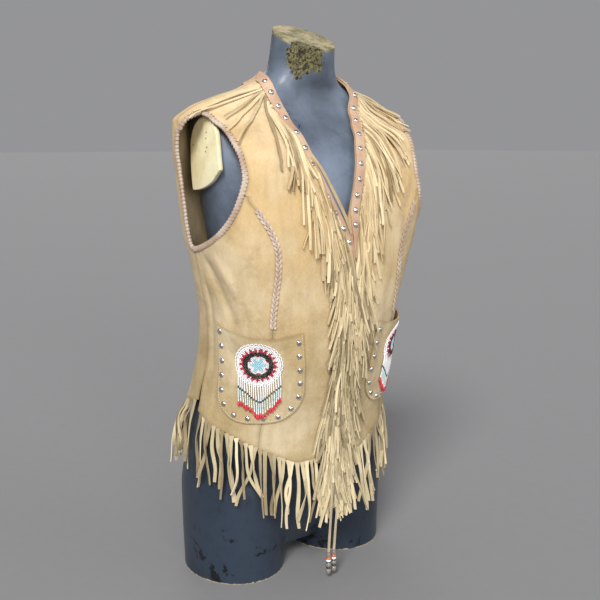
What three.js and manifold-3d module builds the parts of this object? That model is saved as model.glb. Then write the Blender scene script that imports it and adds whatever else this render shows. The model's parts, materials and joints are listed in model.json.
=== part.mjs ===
// Fringed beaded suede vest on a torso dress form.
//
// Millimetres, +Z up. The wearer faces -Y, so the wearer's left is +X and the right is -X.
// The form stands on its two flat thigh ends at z = 0. Every sewn piece is a thin wall on one
// garment surface, which is worked out from a short table of horizontal sections: a place on it
// is a girth angle (0 at centre front, 90 at the side, 180 at centre back) and a height.

import * as THREE from 'three';
import { mergeVertices } from 'three/addons/utils/BufferGeometryUtils.js';
import Module from 'manifold-3d';

const wasm = await Module();
wasm.setup();

// ---------------------------------------------------------------- driving dimensions
const WALL = 2.0;               // suede of the panels
const GAP = 0.3;                // between two pieces at a seam
const LAID = 0.9;               // between a panel's facets and what lies on it
const HEM_LEVEL = 192;          // centre front hem, above the floor
const HEM_FADE = 150;           // height over which rows change from the hem's curve to level
const SLIT_TOP = 295;           // top of the side slits
const NECK_TOP = 754;           // where the neck edge meets the shoulder seam
const SIDE_SEAM = 90;           // degrees

const BAND = { width: 15, thick: 1.6 };
const LACE = { width: 7.5, thick: 1.6 };
const STRIP = { width: 4, thick: 1.6 };
const OVERLAP_LIFT = 2.7;       // the right front lies this far out over the left front
const ORIGIN_SHIFT = -22.25;   // puts the part's footprint centre on the Z axis

const STUD = { radius: 4.3, height: 2.4, sides: 6, sunk: 1.1 };
const POCKET = { thick: 1.8, out: 1.1, width: 132, top: 389, bottom: 260, corner: 46, gape: 5 };
const ROSETTE = { radius: 33, middle: 92, sectors: 18 };   // its middle above the pocket's foot
const PLATE = { inner: 162, thick: 6 };
const CHEEK_FOOT = 560;         // the form's sides are flat above this height
const MEET = 0.002;             // two cutting tools share this much, so no slit is left

const deg = THREE.MathUtils.degToRad;
const smooth = (value) => THREE.MathUtils.smoothstep(value, 0, 1);

// ---------------------------------------------------------------- tables
// Sections of the dress form, from the crotch up to the neck.
const FORM_COLUMNS = ['z', 'half', 'front', 'back', 'centre', 'roundFront', 'roundBack'];
const FORM_ROWS = [
  [36, 118, 58, 74, 38, 1.0, 1.0],
  [80, 158, 86, 100, 35, 1.0, 1.0],
  [140, 170, 98, 116, 31, 0.95, 0.95],
  [203, 168, 102, 120, 26, 0.9, 0.9],
  [283, 154, 100, 106, 19, 0.9, 0.9],
  [363, 138, 94, 90, 7, 0.88, 0.88],
  [413, 133, 92, 84, 2, 0.86, 0.86],
  [473, 138, 96, 86, -2, 0.84, 0.86],
  [523, 146, 100, 90, -4, 0.82, 0.84],
  [573, 156, 98, 92, -6, 0.8, 0.84],
  [623, 168, 84, 94, -8, 0.8, 0.84],
  [663, 178, 64, 90, -8, 0.84, 0.84],
  [688, 180, 54, 75, -1, 0.86, 0.86],
  [705, 166, 50, 62, 3, 0.86, 0.86],
  [723, 124, 47, 53, 2, 0.9, 0.9],
  [735, 88, 46, 50, 0, 0.95, 0.95],
  [748, 62, 48, 49, -6, 1, 1],
  [768, 51, 46, 46, -12, 1, 1],
  [809, 45.5, 45.5, 45.5, -18, 1, 1],
];
// Sections of the vest's outer face; it rests on the shoulders and stands away below them.
const VEST_ROWS = [
  [20, 170, 120, 142, 32, 0.9, 0.9],
  [183, 173, 120, 142, 32, 0.9, 0.9],
  [233, 171, 120, 136, 30, 0.88, 0.9],
  [283, 163, 120, 122, 22, 0.85, 0.9],
  [353, 157, 118, 104, 6, 0.8, 0.88],
  [413, 160, 118, 98, -2, 0.76, 0.86],
  [473, 172, 118, 98, -5, 0.69, 0.84],
  [523, 185, 116, 102, -8, 0.64, 0.82],
  [573, 193, 108, 108, -13, 0.6, 0.8],
  [623, 198, 94, 112, -17, 0.57, 0.8],
  [663, 203, 78, 102, -13, 0.62, 0.82],
  [688, 201, 64, 82, -1, 0.76, 0.84],
  [706.8, 174, 57, 69, 5, 0.86, 0.86],
  [724.8, 130, 54, 60, 3, 0.9, 0.9],
  [736.8, 94, 53, 57, 0, 0.95, 0.95],
  [749.8, 69, 55, 56, -6, 1, 1],
  [769.8, 57, 52, 52, -12, 1, 1],
];
// Heights of the rows that all panels share, so that seams match.
const PANEL_ROWS = [192, 222, 252, 284, 316, 349, 395, 440, 480, 508, 516, 530, 550, 570,
  588, 610, 634, 658, 676, 690, 700, 712, 724, 736, 746, NECK_TOP];

// Curves on the garment surface, as [height, girth angle on the wearer's own side].
const RIGHT_NECK_EDGE = [[192, -2.7], [500, -2.7], [520, -2], [541, 1], [557, 3.8], [583, 7.8],
  [610, 11], [635, 13.2], [660, 14.6], [677, 15.2], [695, 16.5], [713, 22], [728, 33],
  [737, 46], [745, 62], [751, 76], [NECK_TOP, 82]];
const LEFT_NECK_EDGE = [[192, -2.7], [500, -2.7], [520, -2.2], [541, -0.6], [558, 0.9],
  [578, 2.6], [606, 5.2], [627, 7.2], [648, 9], [672, 12], [697, 17], [713, 22], [728, 33],
  [737, 46], [745, 62], [751, 76], [NECK_TOP, 82]];
const LEFT_BAND_EDGE = [[488, 3.5], [500, 3.5], [520, 3.1], [541, 2.1], [558, 1.7], [578, 2.6],
  [606, 5.2], [627, 7.2], [648, 9], [672, 12], [697, 17], [713, 22], [728, 33], [737, 46],
  [745, 62], [751, 76], [NECK_TOP, 82]];
const PRINCESS_SEAM = [[192, 40], [300, 40], [395, 40.5], [415, 40.2], [457, 37.3], [481, 35.3],
  [515, 34.1], [528, 34.8], [548, 37], [568, 40], [581, 43]];
const ARMHOLE_FRONT = [[508, 90], [510, 84], [516, 75], [524, 66.5], [539, 57.5], [561, 50],
  [582, 45.8], [599, 43.3], [613, 41.8], [640, 41.3], [655, 42.3], [668, 43.8], [676, 45.6],
  [683, 51], [690, 62], [695, 73], [700, 90]];
const ARMHOLE_BACK = [[508, 90], [511, 94], [520, 97], [541, 98], [574, 99], [598, 101],
  [623, 102.5], [647, 102], [665, 100], [680, 97.5], [692, 94.5], [698, 92], [700, 90]];
// How far the rows that meet at the top of the armhole sag below their level, by girth angle:
// the armhole is highest before the shoulder seam and falls away behind it.
const SHOULDER_SAG = [[0, 0], [36, 0], [47, -5], [54, -10], [63, -10], [73, 2], [80, 11],
  [90, 21], [100, 12], [116, 0], [180, 0]];
// Hem heights by girth angle: the front dips to the centre, the back to the centre back.
const FRONT_HEM = [[0, 192], [19, 192], [27, 202], [40, 219], [55, 238], [70, 251], [90, 266]];
const BACK_HEM = [[90, 281], [110, 272], [140, 250], [180, 240]];

// ---------------------------------------------------------------- interpolation
// Monotone cubic through the rows of a table, one column at a time.
function monotone(xs, ys) {
  const count = xs.length;
  const slope = xs.slice(1).map((x, i) => (ys[i + 1] - ys[i]) / (x - xs[i]));
  const tangent = ys.map((_, i) => {
    if (i === 0) return slope[0];
    if (i === count - 1) return slope[count - 2];
    if (slope[i - 1] * slope[i] <= 0) return 0;
    const before = xs[i] - xs[i - 1];
    const after = xs[i + 1] - xs[i];
    const first = 2 * after + before;
    const second = after + 2 * before;
    return (first + second) / (first / slope[i - 1] + second / slope[i]);
  });
  return (x) => {
    let i = 0;
    while (i < count - 2 && x >= xs[i + 1]) i += 1;
    const span = xs[i + 1] - xs[i];
    const t = THREE.MathUtils.clamp((x - xs[i]) / span, 0, 1);
    return (1 + 2 * t) * (1 - t) ** 2 * ys[i] + t * (1 - t) ** 2 * span * tangent[i]
      + t * t * (3 - 2 * t) * ys[i + 1] + t * t * (t - 1) * span * tangent[i + 1];
  };
}
const curve = (rows) => monotone(rows.map((row) => row[0]), rows.map((row) => row[1]));

const rightNeckEdge = curve(RIGHT_NECK_EDGE);
const leftNeckEdge = curve(LEFT_NECK_EDGE);
const leftBandEdge = curve(LEFT_BAND_EDGE);
const shoulderSag = curve(SHOULDER_SAG);
const princessSeam = curve(PRINCESS_SEAM);
const armholeFront = curve(ARMHOLE_FRONT);
const armholeBack = curve(ARMHOLE_BACK);
const frontHem = curve(FRONT_HEM);
const backHem = curve(BACK_HEM);

// ---------------------------------------------------------------- the surfaces
// A body of horizontal sections. Each section is a superellipse with its own front and back
// depth; its roundness is 1 for an ellipse and less for a squarer one.
class Surface {
  constructor(rows) {
    const heights = rows.map((row) => row[0]);
    this.column = Object.fromEntries(FORM_COLUMNS.slice(1).map((name, i) => (
      [name, monotone(heights, rows.map((row) => row[i + 1]))])));
  }

  point(girth, z) {
    const sine = Math.sin(deg(girth));
    const cosine = Math.cos(deg(girth));
    const facing = cosine > 0 ? 'Front' : 'Back';
    const power = 2 / this.column[`round${facing}`](z);
    const depth = this.column[facing.toLowerCase()](z);
    const reach = (Math.abs(sine) ** power + Math.abs(cosine) ** power) ** (-1 / power);
    const centre = this.column.centre(z) + ORIGIN_SHIFT;
    const across = this.column.half(z) * reach * sine;
    return new THREE.Vector3(across, centre - depth * reach * cosine, z);
  }

  // The point with its two tangents (per degree and per millimetre of height) and its normal.
  frame(girth, z) {
    const around = this.point(girth + 0.2, z).sub(this.point(girth - 0.2, z)).divideScalar(0.4);
    const upward = this.point(girth, z + 0.5).sub(this.point(girth, z - 0.5));
    const normal = new THREE.Vector3().crossVectors(around, upward).normalize();
    return { point: this.point(girth, z), around, upward, normal };
  }

  lifted(girth, z, out) {
    const { point, normal } = this.frame(girth, z);
    return point.addScaledVector(normal, out);
  }

  // The place reached by going a distance along a direction that lies in the surface.
  slide({ girth, z }, direction, distance, steps = 3) {
    let place = { girth, z };
    for (let i = 0; i < steps; i += 1) {
      const { around, upward, normal } = this.frame(place.girth, place.z);
      const heading = direction.clone().projectOnPlane(normal).normalize()
        .multiplyScalar(distance / steps);
      const aa = around.dot(around);
      const au = around.dot(upward);
      const uu = upward.dot(upward);
      const ha = heading.dot(around);
      const hu = heading.dot(upward);
      const det = aa * uu - au * au;
      place = {
        girth: place.girth + (ha * uu - hu * au) / det,
        z: place.z + (hu * aa - ha * au) / det,
      };
    }
    return place;
  }
}

const form = new Surface(FORM_ROWS);
const vest = new Surface(VEST_ROWS);

// Hem shapes: a row's level below HEM_LEVEL + HEM_FADE bends to follow the hem.
function rowHeight(girth, level, hem, depth = HEM_FADE) {
  const fade = 1 - smooth((level - HEM_LEVEL) / depth);
  return level + (hem(Math.abs(girth)) - HEM_LEVEL) * fade;
}
// A row's level lowered by the shoulder's sag, which is full near ARMHOLE_TOP and fades both ways.
const ARMHOLE_TOP = 700;
const SAG_SPAN = { from: 600, full: 680, gone: 750 };
function sagged(girth, level) {
  const below = smooth((level - SAG_SPAN.from) / (SAG_SPAN.full - SAG_SPAN.from));
  const above = 1 - smooth((level - ARMHOLE_TOP) / (SAG_SPAN.gone - ARMHOLE_TOP));
  return level - shoulderSag(girth) * below * above;
}
const BACK_NECK_DROP = 9;       // the back neck edge is this much lower at centre back
const BACK_NECK_FADE = 60;

// How far the right front is lifted near its edge, where it laps over the left front.
function overlapLift(side, girth, z) {
  if (side > 0) return 0;
  const distance = THREE.MathUtils.mapLinear(girth, 3, 14, 0, 1);
  const height = THREE.MathUtils.mapLinear(z, 545, 620, 0, 1);
  return OVERLAP_LIFT * (1 - smooth(distance)) * (1 - smooth(height));
}

// A place on one front (side 1 is the wearer's left, -1 the right), some way out of its face.
function onFront(side, girth, z, out) {
  return vest.lifted(side * girth, z, out + overlapLift(side, girth, z));
}

// ---------------------------------------------------------------- thin walls from grids
// A closed wall from outer and inner vertices and the faces between them. Its open edges are
// found as the face edges used once, and are closed with strips.
function wall(outer, inner, faces) {
  const count = outer.length;
  const positions = [...outer, ...inner].flatMap((vertex) => vertex.toArray());
  const index = [];
  const edges = new Map();
  for (const face of faces) {
    for (let i = 1; i < face.length - 1; i += 1) {
      index.push(face[0], face[i], face[i + 1]);
      index.push(face[0] + count, face[i + 1] + count, face[i] + count);
    }
    face.forEach((start, i) => {
      const end = face[(i + 1) % face.length];
      const back = `${end}/${start}`;
      if (edges.has(back)) edges.delete(back);
      else edges.set(`${start}/${end}`, [start, end]);
    });
  }
  for (const [start, end] of edges.values()) {
    index.push(start, start + count, end);
    index.push(end, start + count, end + count);
  }
  return outwards(positions, index);
}

// A geometry whose faces point out, whichever way its grid ran.
function outwards(positions, index) {
  const geometry = new THREE.BufferGeometry();
  geometry.setAttribute('position', new THREE.Float32BufferAttribute(positions, 3));
  let volume = 0;
  const [a, b, c] = [new THREE.Vector3(), new THREE.Vector3(), new THREE.Vector3()];
  for (let i = 0; i < index.length; i += 3) {
    a.fromArray(positions, index[i] * 3);
    b.fromArray(positions, index[i + 1] * 3);
    c.fromArray(positions, index[i + 2] * 3);
    volume += a.dot(b.cross(c));
  }
  if (volume < 0) {
    for (let i = 0; i < index.length; i += 3) [index[i], index[i + 1]] = [index[i + 1], index[i]];
  }
  geometry.setIndex(index);
  return geometry;
}

// A wall over a grid. place(u, v) gives { outer, inner } for whole numbers u and v. Each cell is
// split along its shorter diagonal.
function gridWall(columns, rows, place, closed = false) {
  const outer = [];
  const inner = [];
  const across = closed ? columns : columns + 1;
  for (let v = 0; v <= rows; v += 1) {
    for (let u = 0; u < across; u += 1) {
      const vertex = place(u, v);
      outer.push(vertex.outer);
      inner.push(vertex.inner);
    }
  }
  const faces = [];
  for (let v = 0; v < rows; v += 1) {
    for (let u = 0; u < columns; u += 1) {
      const next = (u + 1) % across;
      const [a, b] = [v * across + u, v * across + next];
      const [c, d] = [b + across, a + across];
      const shorter = outer[a].distanceTo(outer[c]) <= outer[b].distanceTo(outer[d]);
      faces.push(shorter ? [a, b, c, d] : [b, c, d, a]);
    }
  }
  return wall(outer, inner, faces);
}

// ---------------------------------------------------------------- booleans
function solidOf(geometry) {
  const merged = geometry.clone();
  for (const name of Object.keys(merged.attributes)) {
    if (name !== 'position') merged.deleteAttribute(name);
  }
  const loose = mergeVertices(merged, 1e-4);
  const welded = outwards([...loose.attributes.position.array], [...loose.index.array]);
  return new wasm.Manifold(new wasm.Mesh({
    numProp: 3,
    vertProperties: new Float32Array(welded.attributes.position.array),
    triVerts: new Uint32Array(welded.index.array),
  }));
}

function geometryOf(solid) {
  const mesh = solid.getMesh();
  const geometry = new THREE.BufferGeometry();
  geometry.setAttribute('position', new THREE.Float32BufferAttribute(mesh.vertProperties, 3));
  geometry.setIndex([...mesh.triVerts]);
  return geometry;
}

const joined = (geometries) => geometryOf(
  geometries.map(solidOf).reduce((sum, solid) => sum.add(solid)));

// ---------------------------------------------------------------- materials
const colour = (hex, roughness, metalness = 0) => (
  new THREE.MeshStandardMaterial({ color: hex, roughness, metalness }));
const MATERIAL = {
  suede: colour(0xcfb07c, 0.95),
  band: colour(0xc9a387, 0.75),
  lace: colour(0xc4a594, 0.8),
  form: colour(0x3d4d63, 0.5),
  plate: colour(0xeee0b4, 0.6),
  beads: colour(0xeeeeee, 0.3),
  tie: colour(0xa98b63, 0.9),
};

const product = new THREE.Group();
function piece(name, geometry, material) {
  const mesh = new THREE.Mesh(geometry, material);
  mesh.name = name;
  product.add(mesh);
}
const SIDES = [['r', -1], ['l', 1]];

// ---------------------------------------------------------------- the dress form
// A closed loft through sections given as rings of points, with flat ends.
function loft(rings) {
  const around = rings[0].length;
  const positions = rings.flat().flatMap((vertex) => vertex.toArray());
  const index = [];
  for (let v = 0; v < rings.length - 1; v += 1) {
    for (let u = 0; u < around; u += 1) {
      const next = (u + 1) % around;
      const [a, b] = [v * around + u, v * around + next];
      index.push(a, b, b + around, a, b + around, a + around);
    }
  }
  const last = (rings.length - 1) * around;
  for (let u = 1; u < around - 1; u += 1) {
    index.push(0, u + 1, u, last, last + u, last + u + 1);
  }
  return outwards(positions, index);
}

const FORM_SIDES = 24;
const NECK_SLANT = Math.tan(deg(25));
const NECK_BASE = 760;
const NECK_END = 809;
const THIGH = { x: 97, y: 37, half: 76, depth: 86, sides: 16 };
const THIGH_RINGS = [[0, 1], [60, 1.02], [130, 1.03], [190, 0.9], [240, 0.6]];

function formTorso() {
  const levels = [...FORM_ROWS.map((row) => row[0]), 645, 697, 729, 741]
    .sort((a, b) => a - b);
  const rings = levels.map((z) => Array.from({ length: FORM_SIDES }, (_, i) => {
    const spot = form.point((360 * i) / FORM_SIDES, z);
    const slant = THREE.MathUtils.clamp((z - NECK_BASE) / (NECK_END - NECK_BASE), 0, 1);
    const middle = form.column.centre(z) + ORIGIN_SHIFT;
    spot.z += slant * NECK_SLANT * (spot.y - middle);
    return spot;
  }));
  const thighs = [-1, 1].map((side) => loft(THIGH_RINGS.map(([z, scale]) => (
    Array.from({ length: THIGH.sides }, (_, i) => {
      const angle = deg((360 * i) / THIGH.sides);
      return new THREE.Vector3(
        side * THIGH.x + THIGH.half * scale * Math.cos(angle),
        THIGH.y + ORIGIN_SHIFT + THIGH.depth * scale * Math.sin(angle),
        z,
      );
    })))));
  // The sides are cut flat where the arms would join; the two tools touch at CHEEK_FOOT.
  const reach = 1000;
  const cheeks = new THREE.BoxGeometry(2 * PLATE.inner, reach, reach);
  cheeks.translate(0, 0, reach / 2 + CHEEK_FOOT);
  const lower = new THREE.BoxGeometry(reach, reach, CHEEK_FOOT + MEET);
  lower.translate(0, 0, CHEEK_FOOT / 2);
  const body = [loft(rings), ...thighs].map(solidOf).reduce((sum, solid) => sum.add(solid));
  const trimmed = body.intersect(solidOf(cheeks)).add(body.intersect(solidOf(lower)));
  return geometryOf(trimmed);
}

// The plate on an arm joint: an oval outline, lower and narrower below, cut from flat sheet.
function armPlate(side) {
  const shape = new THREE.Shape();
  shape.moveTo(-56, 622);
  shape.lineTo(-50, 668);
  shape.quadraticCurveTo(-43, 689, -16, 694);
  shape.quadraticCurveTo(14, 691, 22, 660);
  shape.quadraticCurveTo(26, 622, 18, 592);
  shape.quadraticCurveTo(-10, 592, -36, 606);
  shape.closePath();
  const plate = new THREE.ExtrudeGeometry(shape, {
    depth: PLATE.thick, bevelEnabled: false, curveSegments: 4,
  });
  // Outline X runs along Y, outline Y along Z, and the thickness along X.
  plate.applyMatrix4(new THREE.Matrix4().set(0, 0, 1, 0, 1, 0, 0, 0, 0, 1, 0, 0, 0, 0, 0, 1));
  const start = side > 0 ? PLATE.inner + GAP : -PLATE.inner - GAP - PLATE.thick;
  plate.translate(start, ORIGIN_SHIFT, 0);
  return plate;
}

piece('form_torso', formTorso(), MATERIAL.form);
for (const [tag, side] of SIDES) piece(`form_arm_plate_${tag}`, armPlate(side), MATERIAL.plate);

// ---------------------------------------------------------------- the panels
// A panel between two curves of girth angle, over a run of the shared rows. Where gather is
// above 1 the columns stand closer together towards the outer curve.
function panel(side, rows, columns, inner, outer, height, gather = () => 1) {
  return gridWall(columns, rows.length - 1, (u, v) => {
    const level = rows[v];
    const share = 1 - (1 - u / columns) ** gather(level);
    const girth = THREE.MathUtils.lerp(inner(level), outer(level), share);
    const z = height(girth, level);
    return {
      outer: onFront(side, girth, z, 0),
      inner: onFront(side, girth, z, -WALL),
    };
  });
}

// The girth angle that a seam moves by to leave half a gap on each side.
function seamShift(girth, z) {
  return (GAP / 2) / vest.frame(girth, z).around.length();
}

const frontHeight = (girth, level) => rowHeight(girth, sagged(girth, level), frontHem);
const SLIT_OPEN = 1.5;          // degrees that each side of a slit gapes at the hem
const slitGape = (level) => SLIT_OPEN * smooth((SLIT_TOP - level) / (SLIT_TOP - HEM_LEVEL));
const frontSideSeam = (level) => (
  SIDE_SEAM - seamShift(SIDE_SEAM, level) - slitGape(level));
const backSideSeam = (level) => (
  SIDE_SEAM + seamShift(SIDE_SEAM, level) + slitGape(level));

const PRINCESS_TOP = 588;       // where the princess seam runs out at the armhole
const ARMHOLE_BOTTOM = 508;
const inArmhole = (level) => level > ARMHOLE_BOTTOM && level < ARMHOLE_TOP;

// The centre panel turns tightly at the shoulder's tip, so rows and columns are closer there.
const SHOULDER_ROWS = [683, 687, 692.5, 695, 697.5];
const [TIP_GATHER, TIP_FROM, TIP_FULL] = [0.6, 676, 696];
function frontCentre(side) {
  const outerEdge = (level) => {
    if (level <= PRINCESS_TOP) {
      const seam = princessSeam(level);
      return seam - seamShift(seam, level);
    }
    if (inArmhole(level)) return armholeFront(level);
    return SIDE_SEAM - seamShift(SIDE_SEAM, level);
  };
  const rows = [...PANEL_ROWS, ...SHOULDER_ROWS].sort((a, b) => a - b);
  const gather = (level) => 1 + TIP_GATHER * smooth((level - TIP_FROM) / (TIP_FULL - TIP_FROM));
  return panel(side, rows, 7, side > 0 ? leftNeckEdge : rightNeckEdge, outerEdge, frontHeight,
    gather);
}

function frontSide(side) {
  const rows = PANEL_ROWS.filter((level) => level <= PRINCESS_TOP);
  const innerEdge = (level) => princessSeam(level) + seamShift(princessSeam(level), level);
  const outerEdge = (level) => (inArmhole(level) ? armholeFront(level) : frontSideSeam(level));
  return panel(side, rows, 5, innerEdge, outerEdge, frontHeight);
}

function backHeight(girth, level) {
  const around = Math.min(girth, 360 - girth);
  const drop = BACK_NECK_DROP * smooth((around - 90) / 90)
    * smooth((level - NECK_TOP + BACK_NECK_FADE) / BACK_NECK_FADE);
  return rowHeight(around, sagged(around, level), backHem, 190) - drop;
}

const BACK_COLUMNS = 16;
const BACK_SPARED = [530, 588, 634, 690];   // rows that only the fronts need
function back() {
  const edge = (level) => {
    if (inArmhole(level)) return armholeBack(level);
    if (level >= ARMHOLE_TOP) return SIDE_SEAM + seamShift(SIDE_SEAM, level);
    return backSideSeam(level);
  };
  const rows = PANEL_ROWS.filter((level) => !BACK_SPARED.includes(level));
  return panel(1, rows, BACK_COLUMNS, edge, (level) => 360 - edge(level), backHeight);
}

piece('back', back(), MATERIAL.suede);
for (const [tag, side] of SIDES) {
  piece(`front_centre_${tag}`, frontCentre(side), MATERIAL.suede);
  piece(`front_side_${tag}`, frontSide(side), MATERIAL.suede);
}

// ---------------------------------------------------------------- ribbons along curves
// A place on a front at some distance from an edge curve, square to the curve.
function besideEdge(side, edge, level, distance) {
  const girth = edge(level);
  const here = vest.point(side * girth, level);
  const along = vest.point(side * edge(level + 1), level + 1).sub(here);
  const { normal } = vest.frame(side * girth, level);
  const across = new THREE.Vector3().crossVectors(normal, along).multiplyScalar(-side);
  const place = vest.slide({ girth: side * girth, z: level }, across, distance, 2);
  return { girth: side * place.girth, z: place.z };
}

// A low dome on a place of the surface, sunk a little into what carries it.
function stud(side, place, out) {
  const { normal } = vest.frame(side * place.girth, place.z);
  const base = onFront(side, place.girth, place.z, out - STUD.sunk);
  const profile = [[0, 0], [STUD.radius, 0], [STUD.radius * 0.65, STUD.sunk + 0.8 * STUD.height],
    [0, STUD.sunk + STUD.height]].map(([x, y]) => new THREE.Vector2(x, y));
  const dome = new THREE.LatheGeometry(profile, STUD.sides);
  const turn = new THREE.Quaternion().setFromUnitVectors(new THREE.Vector3(0, 1, 0), normal);
  dome.applyMatrix4(new THREE.Matrix4().compose(base, turn, new THREE.Vector3(1, 1, 1)));
  return dome;
}

const levelsBetween = (from, to, count) => (
  Array.from({ length: count + 1 }, (_, i) => THREE.MathUtils.lerp(from, to, i / count)));

const BAND_OUT = LAID;
const NECK_STUD_ROWS = [744, 728, 710, 691, 671, 651, 630, 609, 587, 565, 543, 522];

function neckBand(side) {
  const left = side > 0;
  const edge = left ? leftBandEdge : rightNeckEdge;
  const lowest = left ? 488 : HEM_LEVEL;
  const width = (level) => (left ? 1.5 + (BAND.width - 1.5) * smooth((level - 488) / 80)
    : BAND.width);
  const rows = [...(left ? [lowest, 499] : []), ...PANEL_ROWS.filter((level) => (
    level > lowest && level !== 516 && level !== 746)), 742, 749].sort((a, b) => a - b);
  if (!left) rows.unshift(lowest);
  const ribbon = gridWall(1, rows.length - 1, (u, v) => {
    const level = rows[v];
    const place = besideEdge(side, edge, level, width(level) * u);
    const neck = 0.8 * smooth((level - 712) / 20);
    return {
      outer: onFront(side, place.girth, place.z, BAND_OUT + neck + BAND.thick),
      inner: onFront(side, place.girth, place.z, BAND_OUT + neck),
    };
  });
  const studs = NECK_STUD_ROWS.filter((level) => !left || level > 530).map((level) => (
    stud(side, besideEdge(side, edge, level, width(level) / 2), BAND_OUT + BAND.thick)));
  return joined([ribbon, ...studs]);
}

// The back neck band follows the back neck edge from shoulder seam to shoulder seam.
function backNeckBand() {
  const first = 180 / BACK_COLUMNS;
  const levels = [NECK_TOP, 746, 741];
  return gridWall(BACK_COLUMNS - 2, 2, (u, v) => {
    const girth = SIDE_SEAM + first * (u + 1);
    const z = backHeight(girth, levels[v]);
    return {
      outer: vest.lifted(girth, z, BAND_OUT + BAND.thick),
      inner: vest.lifted(girth, z, BAND_OUT),
    };
  });
}

// The armhole edge as one closed run of places, front side up and back side down.
const ARMHOLE_LOOP = [
  ...[508, 509, 513, 522, 536, 556, 582, 612, 644, 664, 675, 681, 686, 690, 694, 697].map((level) => (
    { girth: armholeFront(level), z: sagged(armholeFront(level), level) })),
  ...[700, 696, 686, 668, 644, 612, 580, 550, 530, 518, 511].map((level) => (
    { girth: armholeBack(level), z: sagged(armholeBack(level), level) })),
];

const BINDING_OUT = 1.4;        // clears the panel's facets at the tight bends
function armholeBinding(side) {
  const count = ARMHOLE_LOOP.length;
  return gridWall(count, 1, (u, v) => {
    const here = ARMHOLE_LOOP[u % count];
    const before = ARMHOLE_LOOP[(u + count - 1) % count];
    const after = ARMHOLE_LOOP[(u + 1) % count];
    const along = vest.point(side * after.girth, after.z)
      .sub(vest.point(side * before.girth, before.z));
    const { normal } = vest.frame(side * here.girth, here.z);
    const across = new THREE.Vector3().crossVectors(along, normal).multiplyScalar(side);
    const place = vest.slide({ girth: side * here.girth, z: here.z }, across,
      LACE.width * v - 0.5, 2);
    return {
      outer: vest.lifted(place.girth, place.z, BINDING_OUT + LACE.thick),
      inner: vest.lifted(place.girth, place.z, BINDING_OUT),
    };
  }, true);
}

// The lacing over the princess seam: a narrow braid with scalloped edges.
function seamLacing(side) {
  const rows = levelsBetween(404, 570, 16);
  return gridWall(2, rows.length - 1, (u, v) => {
    const level = rows[v];
    const half = LACE.width * (v % 2 ? 0.36 : 0.5);
    const place = besideEdge(side, princessSeam, level, half * (u - 1));
    return {
      outer: onFront(side, place.girth, place.z, LAID + LACE.thick * (u === 1 ? 1.2 : 1)),
      inner: onFront(side, place.girth, place.z, LAID),
    };
  });
}

for (const [tag, side] of SIDES) {
  piece(`neck_band_${tag}`, neckBand(side), MATERIAL.band);
  piece(`armhole_binding_${tag}`, armholeBinding(side), MATERIAL.lace);
  piece(`seam_lacing_${tag}`, seamLacing(side), MATERIAL.lace);
}
piece('neck_band_back', backNeckBand(), MATERIAL.band);

// ---------------------------------------------------------------- pockets
// A place on the pocket: millimetres around from its middle line and up from its foot.
const POCKET_MIDDLE = 41;       // girth angle
function onPocket(side, across, up) {
  const foot = { girth: side * POCKET_MIDDLE, z: POCKET.bottom };
  const along = vest.slide(foot, new THREE.Vector3(0, 0, 1), up, 4);
  const level = new THREE.Vector3(side * Math.cos(deg(POCKET_MIDDLE)),
    Math.sin(deg(POCKET_MIDDLE)), 0);
  const place = across === 0 ? along
    : vest.slide(along, level.multiplyScalar(Math.sign(across)), Math.abs(across), 5);
  return { girth: side * place.girth, z: place.z };
}

const POCKET_HEIGHT = POCKET.top - POCKET.bottom;
// Half width at a height: full above the rounded lower corners.
function pocketHalf(up) {
  const into = Math.max(0, 1 - up / POCKET.corner);
  return POCKET.width / 2 - POCKET.corner * (1 - Math.sqrt(Math.max(0, 1 - into * into)));
}
// The top edge dips in the middle and rises towards the side seam.
const pocketTop = (share) => POCKET_HEIGHT + 4 + 9 * share * share + 7 * share;

function pocketOut(share, rise) {
  const foot = 0.8 * (1 - smooth(rise / 0.3));
  return POCKET.out + foot + POCKET.gape * (1 - share * share) * smooth((rise - 0.75) / 0.25);
}

function pocket(side) {
  const columns = 8;
  const rises = [0, 0.07, 0.18, 0.34, 0.52, 0.7, 0.86, 1];
  const patch = gridWall(columns, rises.length - 1, (u, v) => {
    const share = (2 * u) / columns - 1;
    const up = rises[v] * pocketTop(share);
    const place = onPocket(side, share * pocketHalf(up), up);
    const out = pocketOut(share, rises[v]) + overlapLift(side, place.girth, place.z);
    return {
      outer: vest.lifted(side * place.girth, place.z, out + POCKET.thick),
      inner: vest.lifted(side * place.girth, place.z, out),
    };
  });
  const studs = pocketStudPlaces().map(([across, up]) => {
    return stud(side, onPocket(side, across, up), pocketFace(across, up));
  });
  return joined([patch, ...studs]);
}

// Sixteen studs: down one side, round the foot and up the other, a constant way from the edge.
function pocketStudPlaces() {
  const inset = 8;
  const radius = POCKET.corner - inset;
  const half = POCKET.width / 2 - inset;
  const straight = POCKET_HEIGHT - 6 - POCKET.corner;
  const flat = 2 * (half - radius);
  const total = 2 * straight + Math.PI * radius + flat;
  return Array.from({ length: 16 }, (_, i) => {
    let run = (total * i) / 15;
    if (run < straight) return [-half, POCKET.corner + straight - run];
    run -= straight;
    if (run < (Math.PI / 2) * radius) {
      const turn = run / radius;
      return [-half + radius - radius * Math.cos(turn), POCKET.corner - radius * Math.sin(turn)];
    }
    run -= (Math.PI / 2) * radius;
    if (run < flat) return [-half + radius + run, POCKET.corner - radius];
    run -= flat;
    if (run < (Math.PI / 2) * radius) {
      const turn = run / radius;
      return [half - radius + radius * Math.sin(turn), POCKET.corner - radius * Math.cos(turn)];
    }
    run -= (Math.PI / 2) * radius;
    return [half, POCKET.corner + run];
  });
}

// ---------------------------------------------------------------- rosettes
function pocketFace(across, up) {
  const share = across / (POCKET.width / 2);
  return pocketOut(share, up / pocketTop(share)) + POCKET.thick;
}

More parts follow.
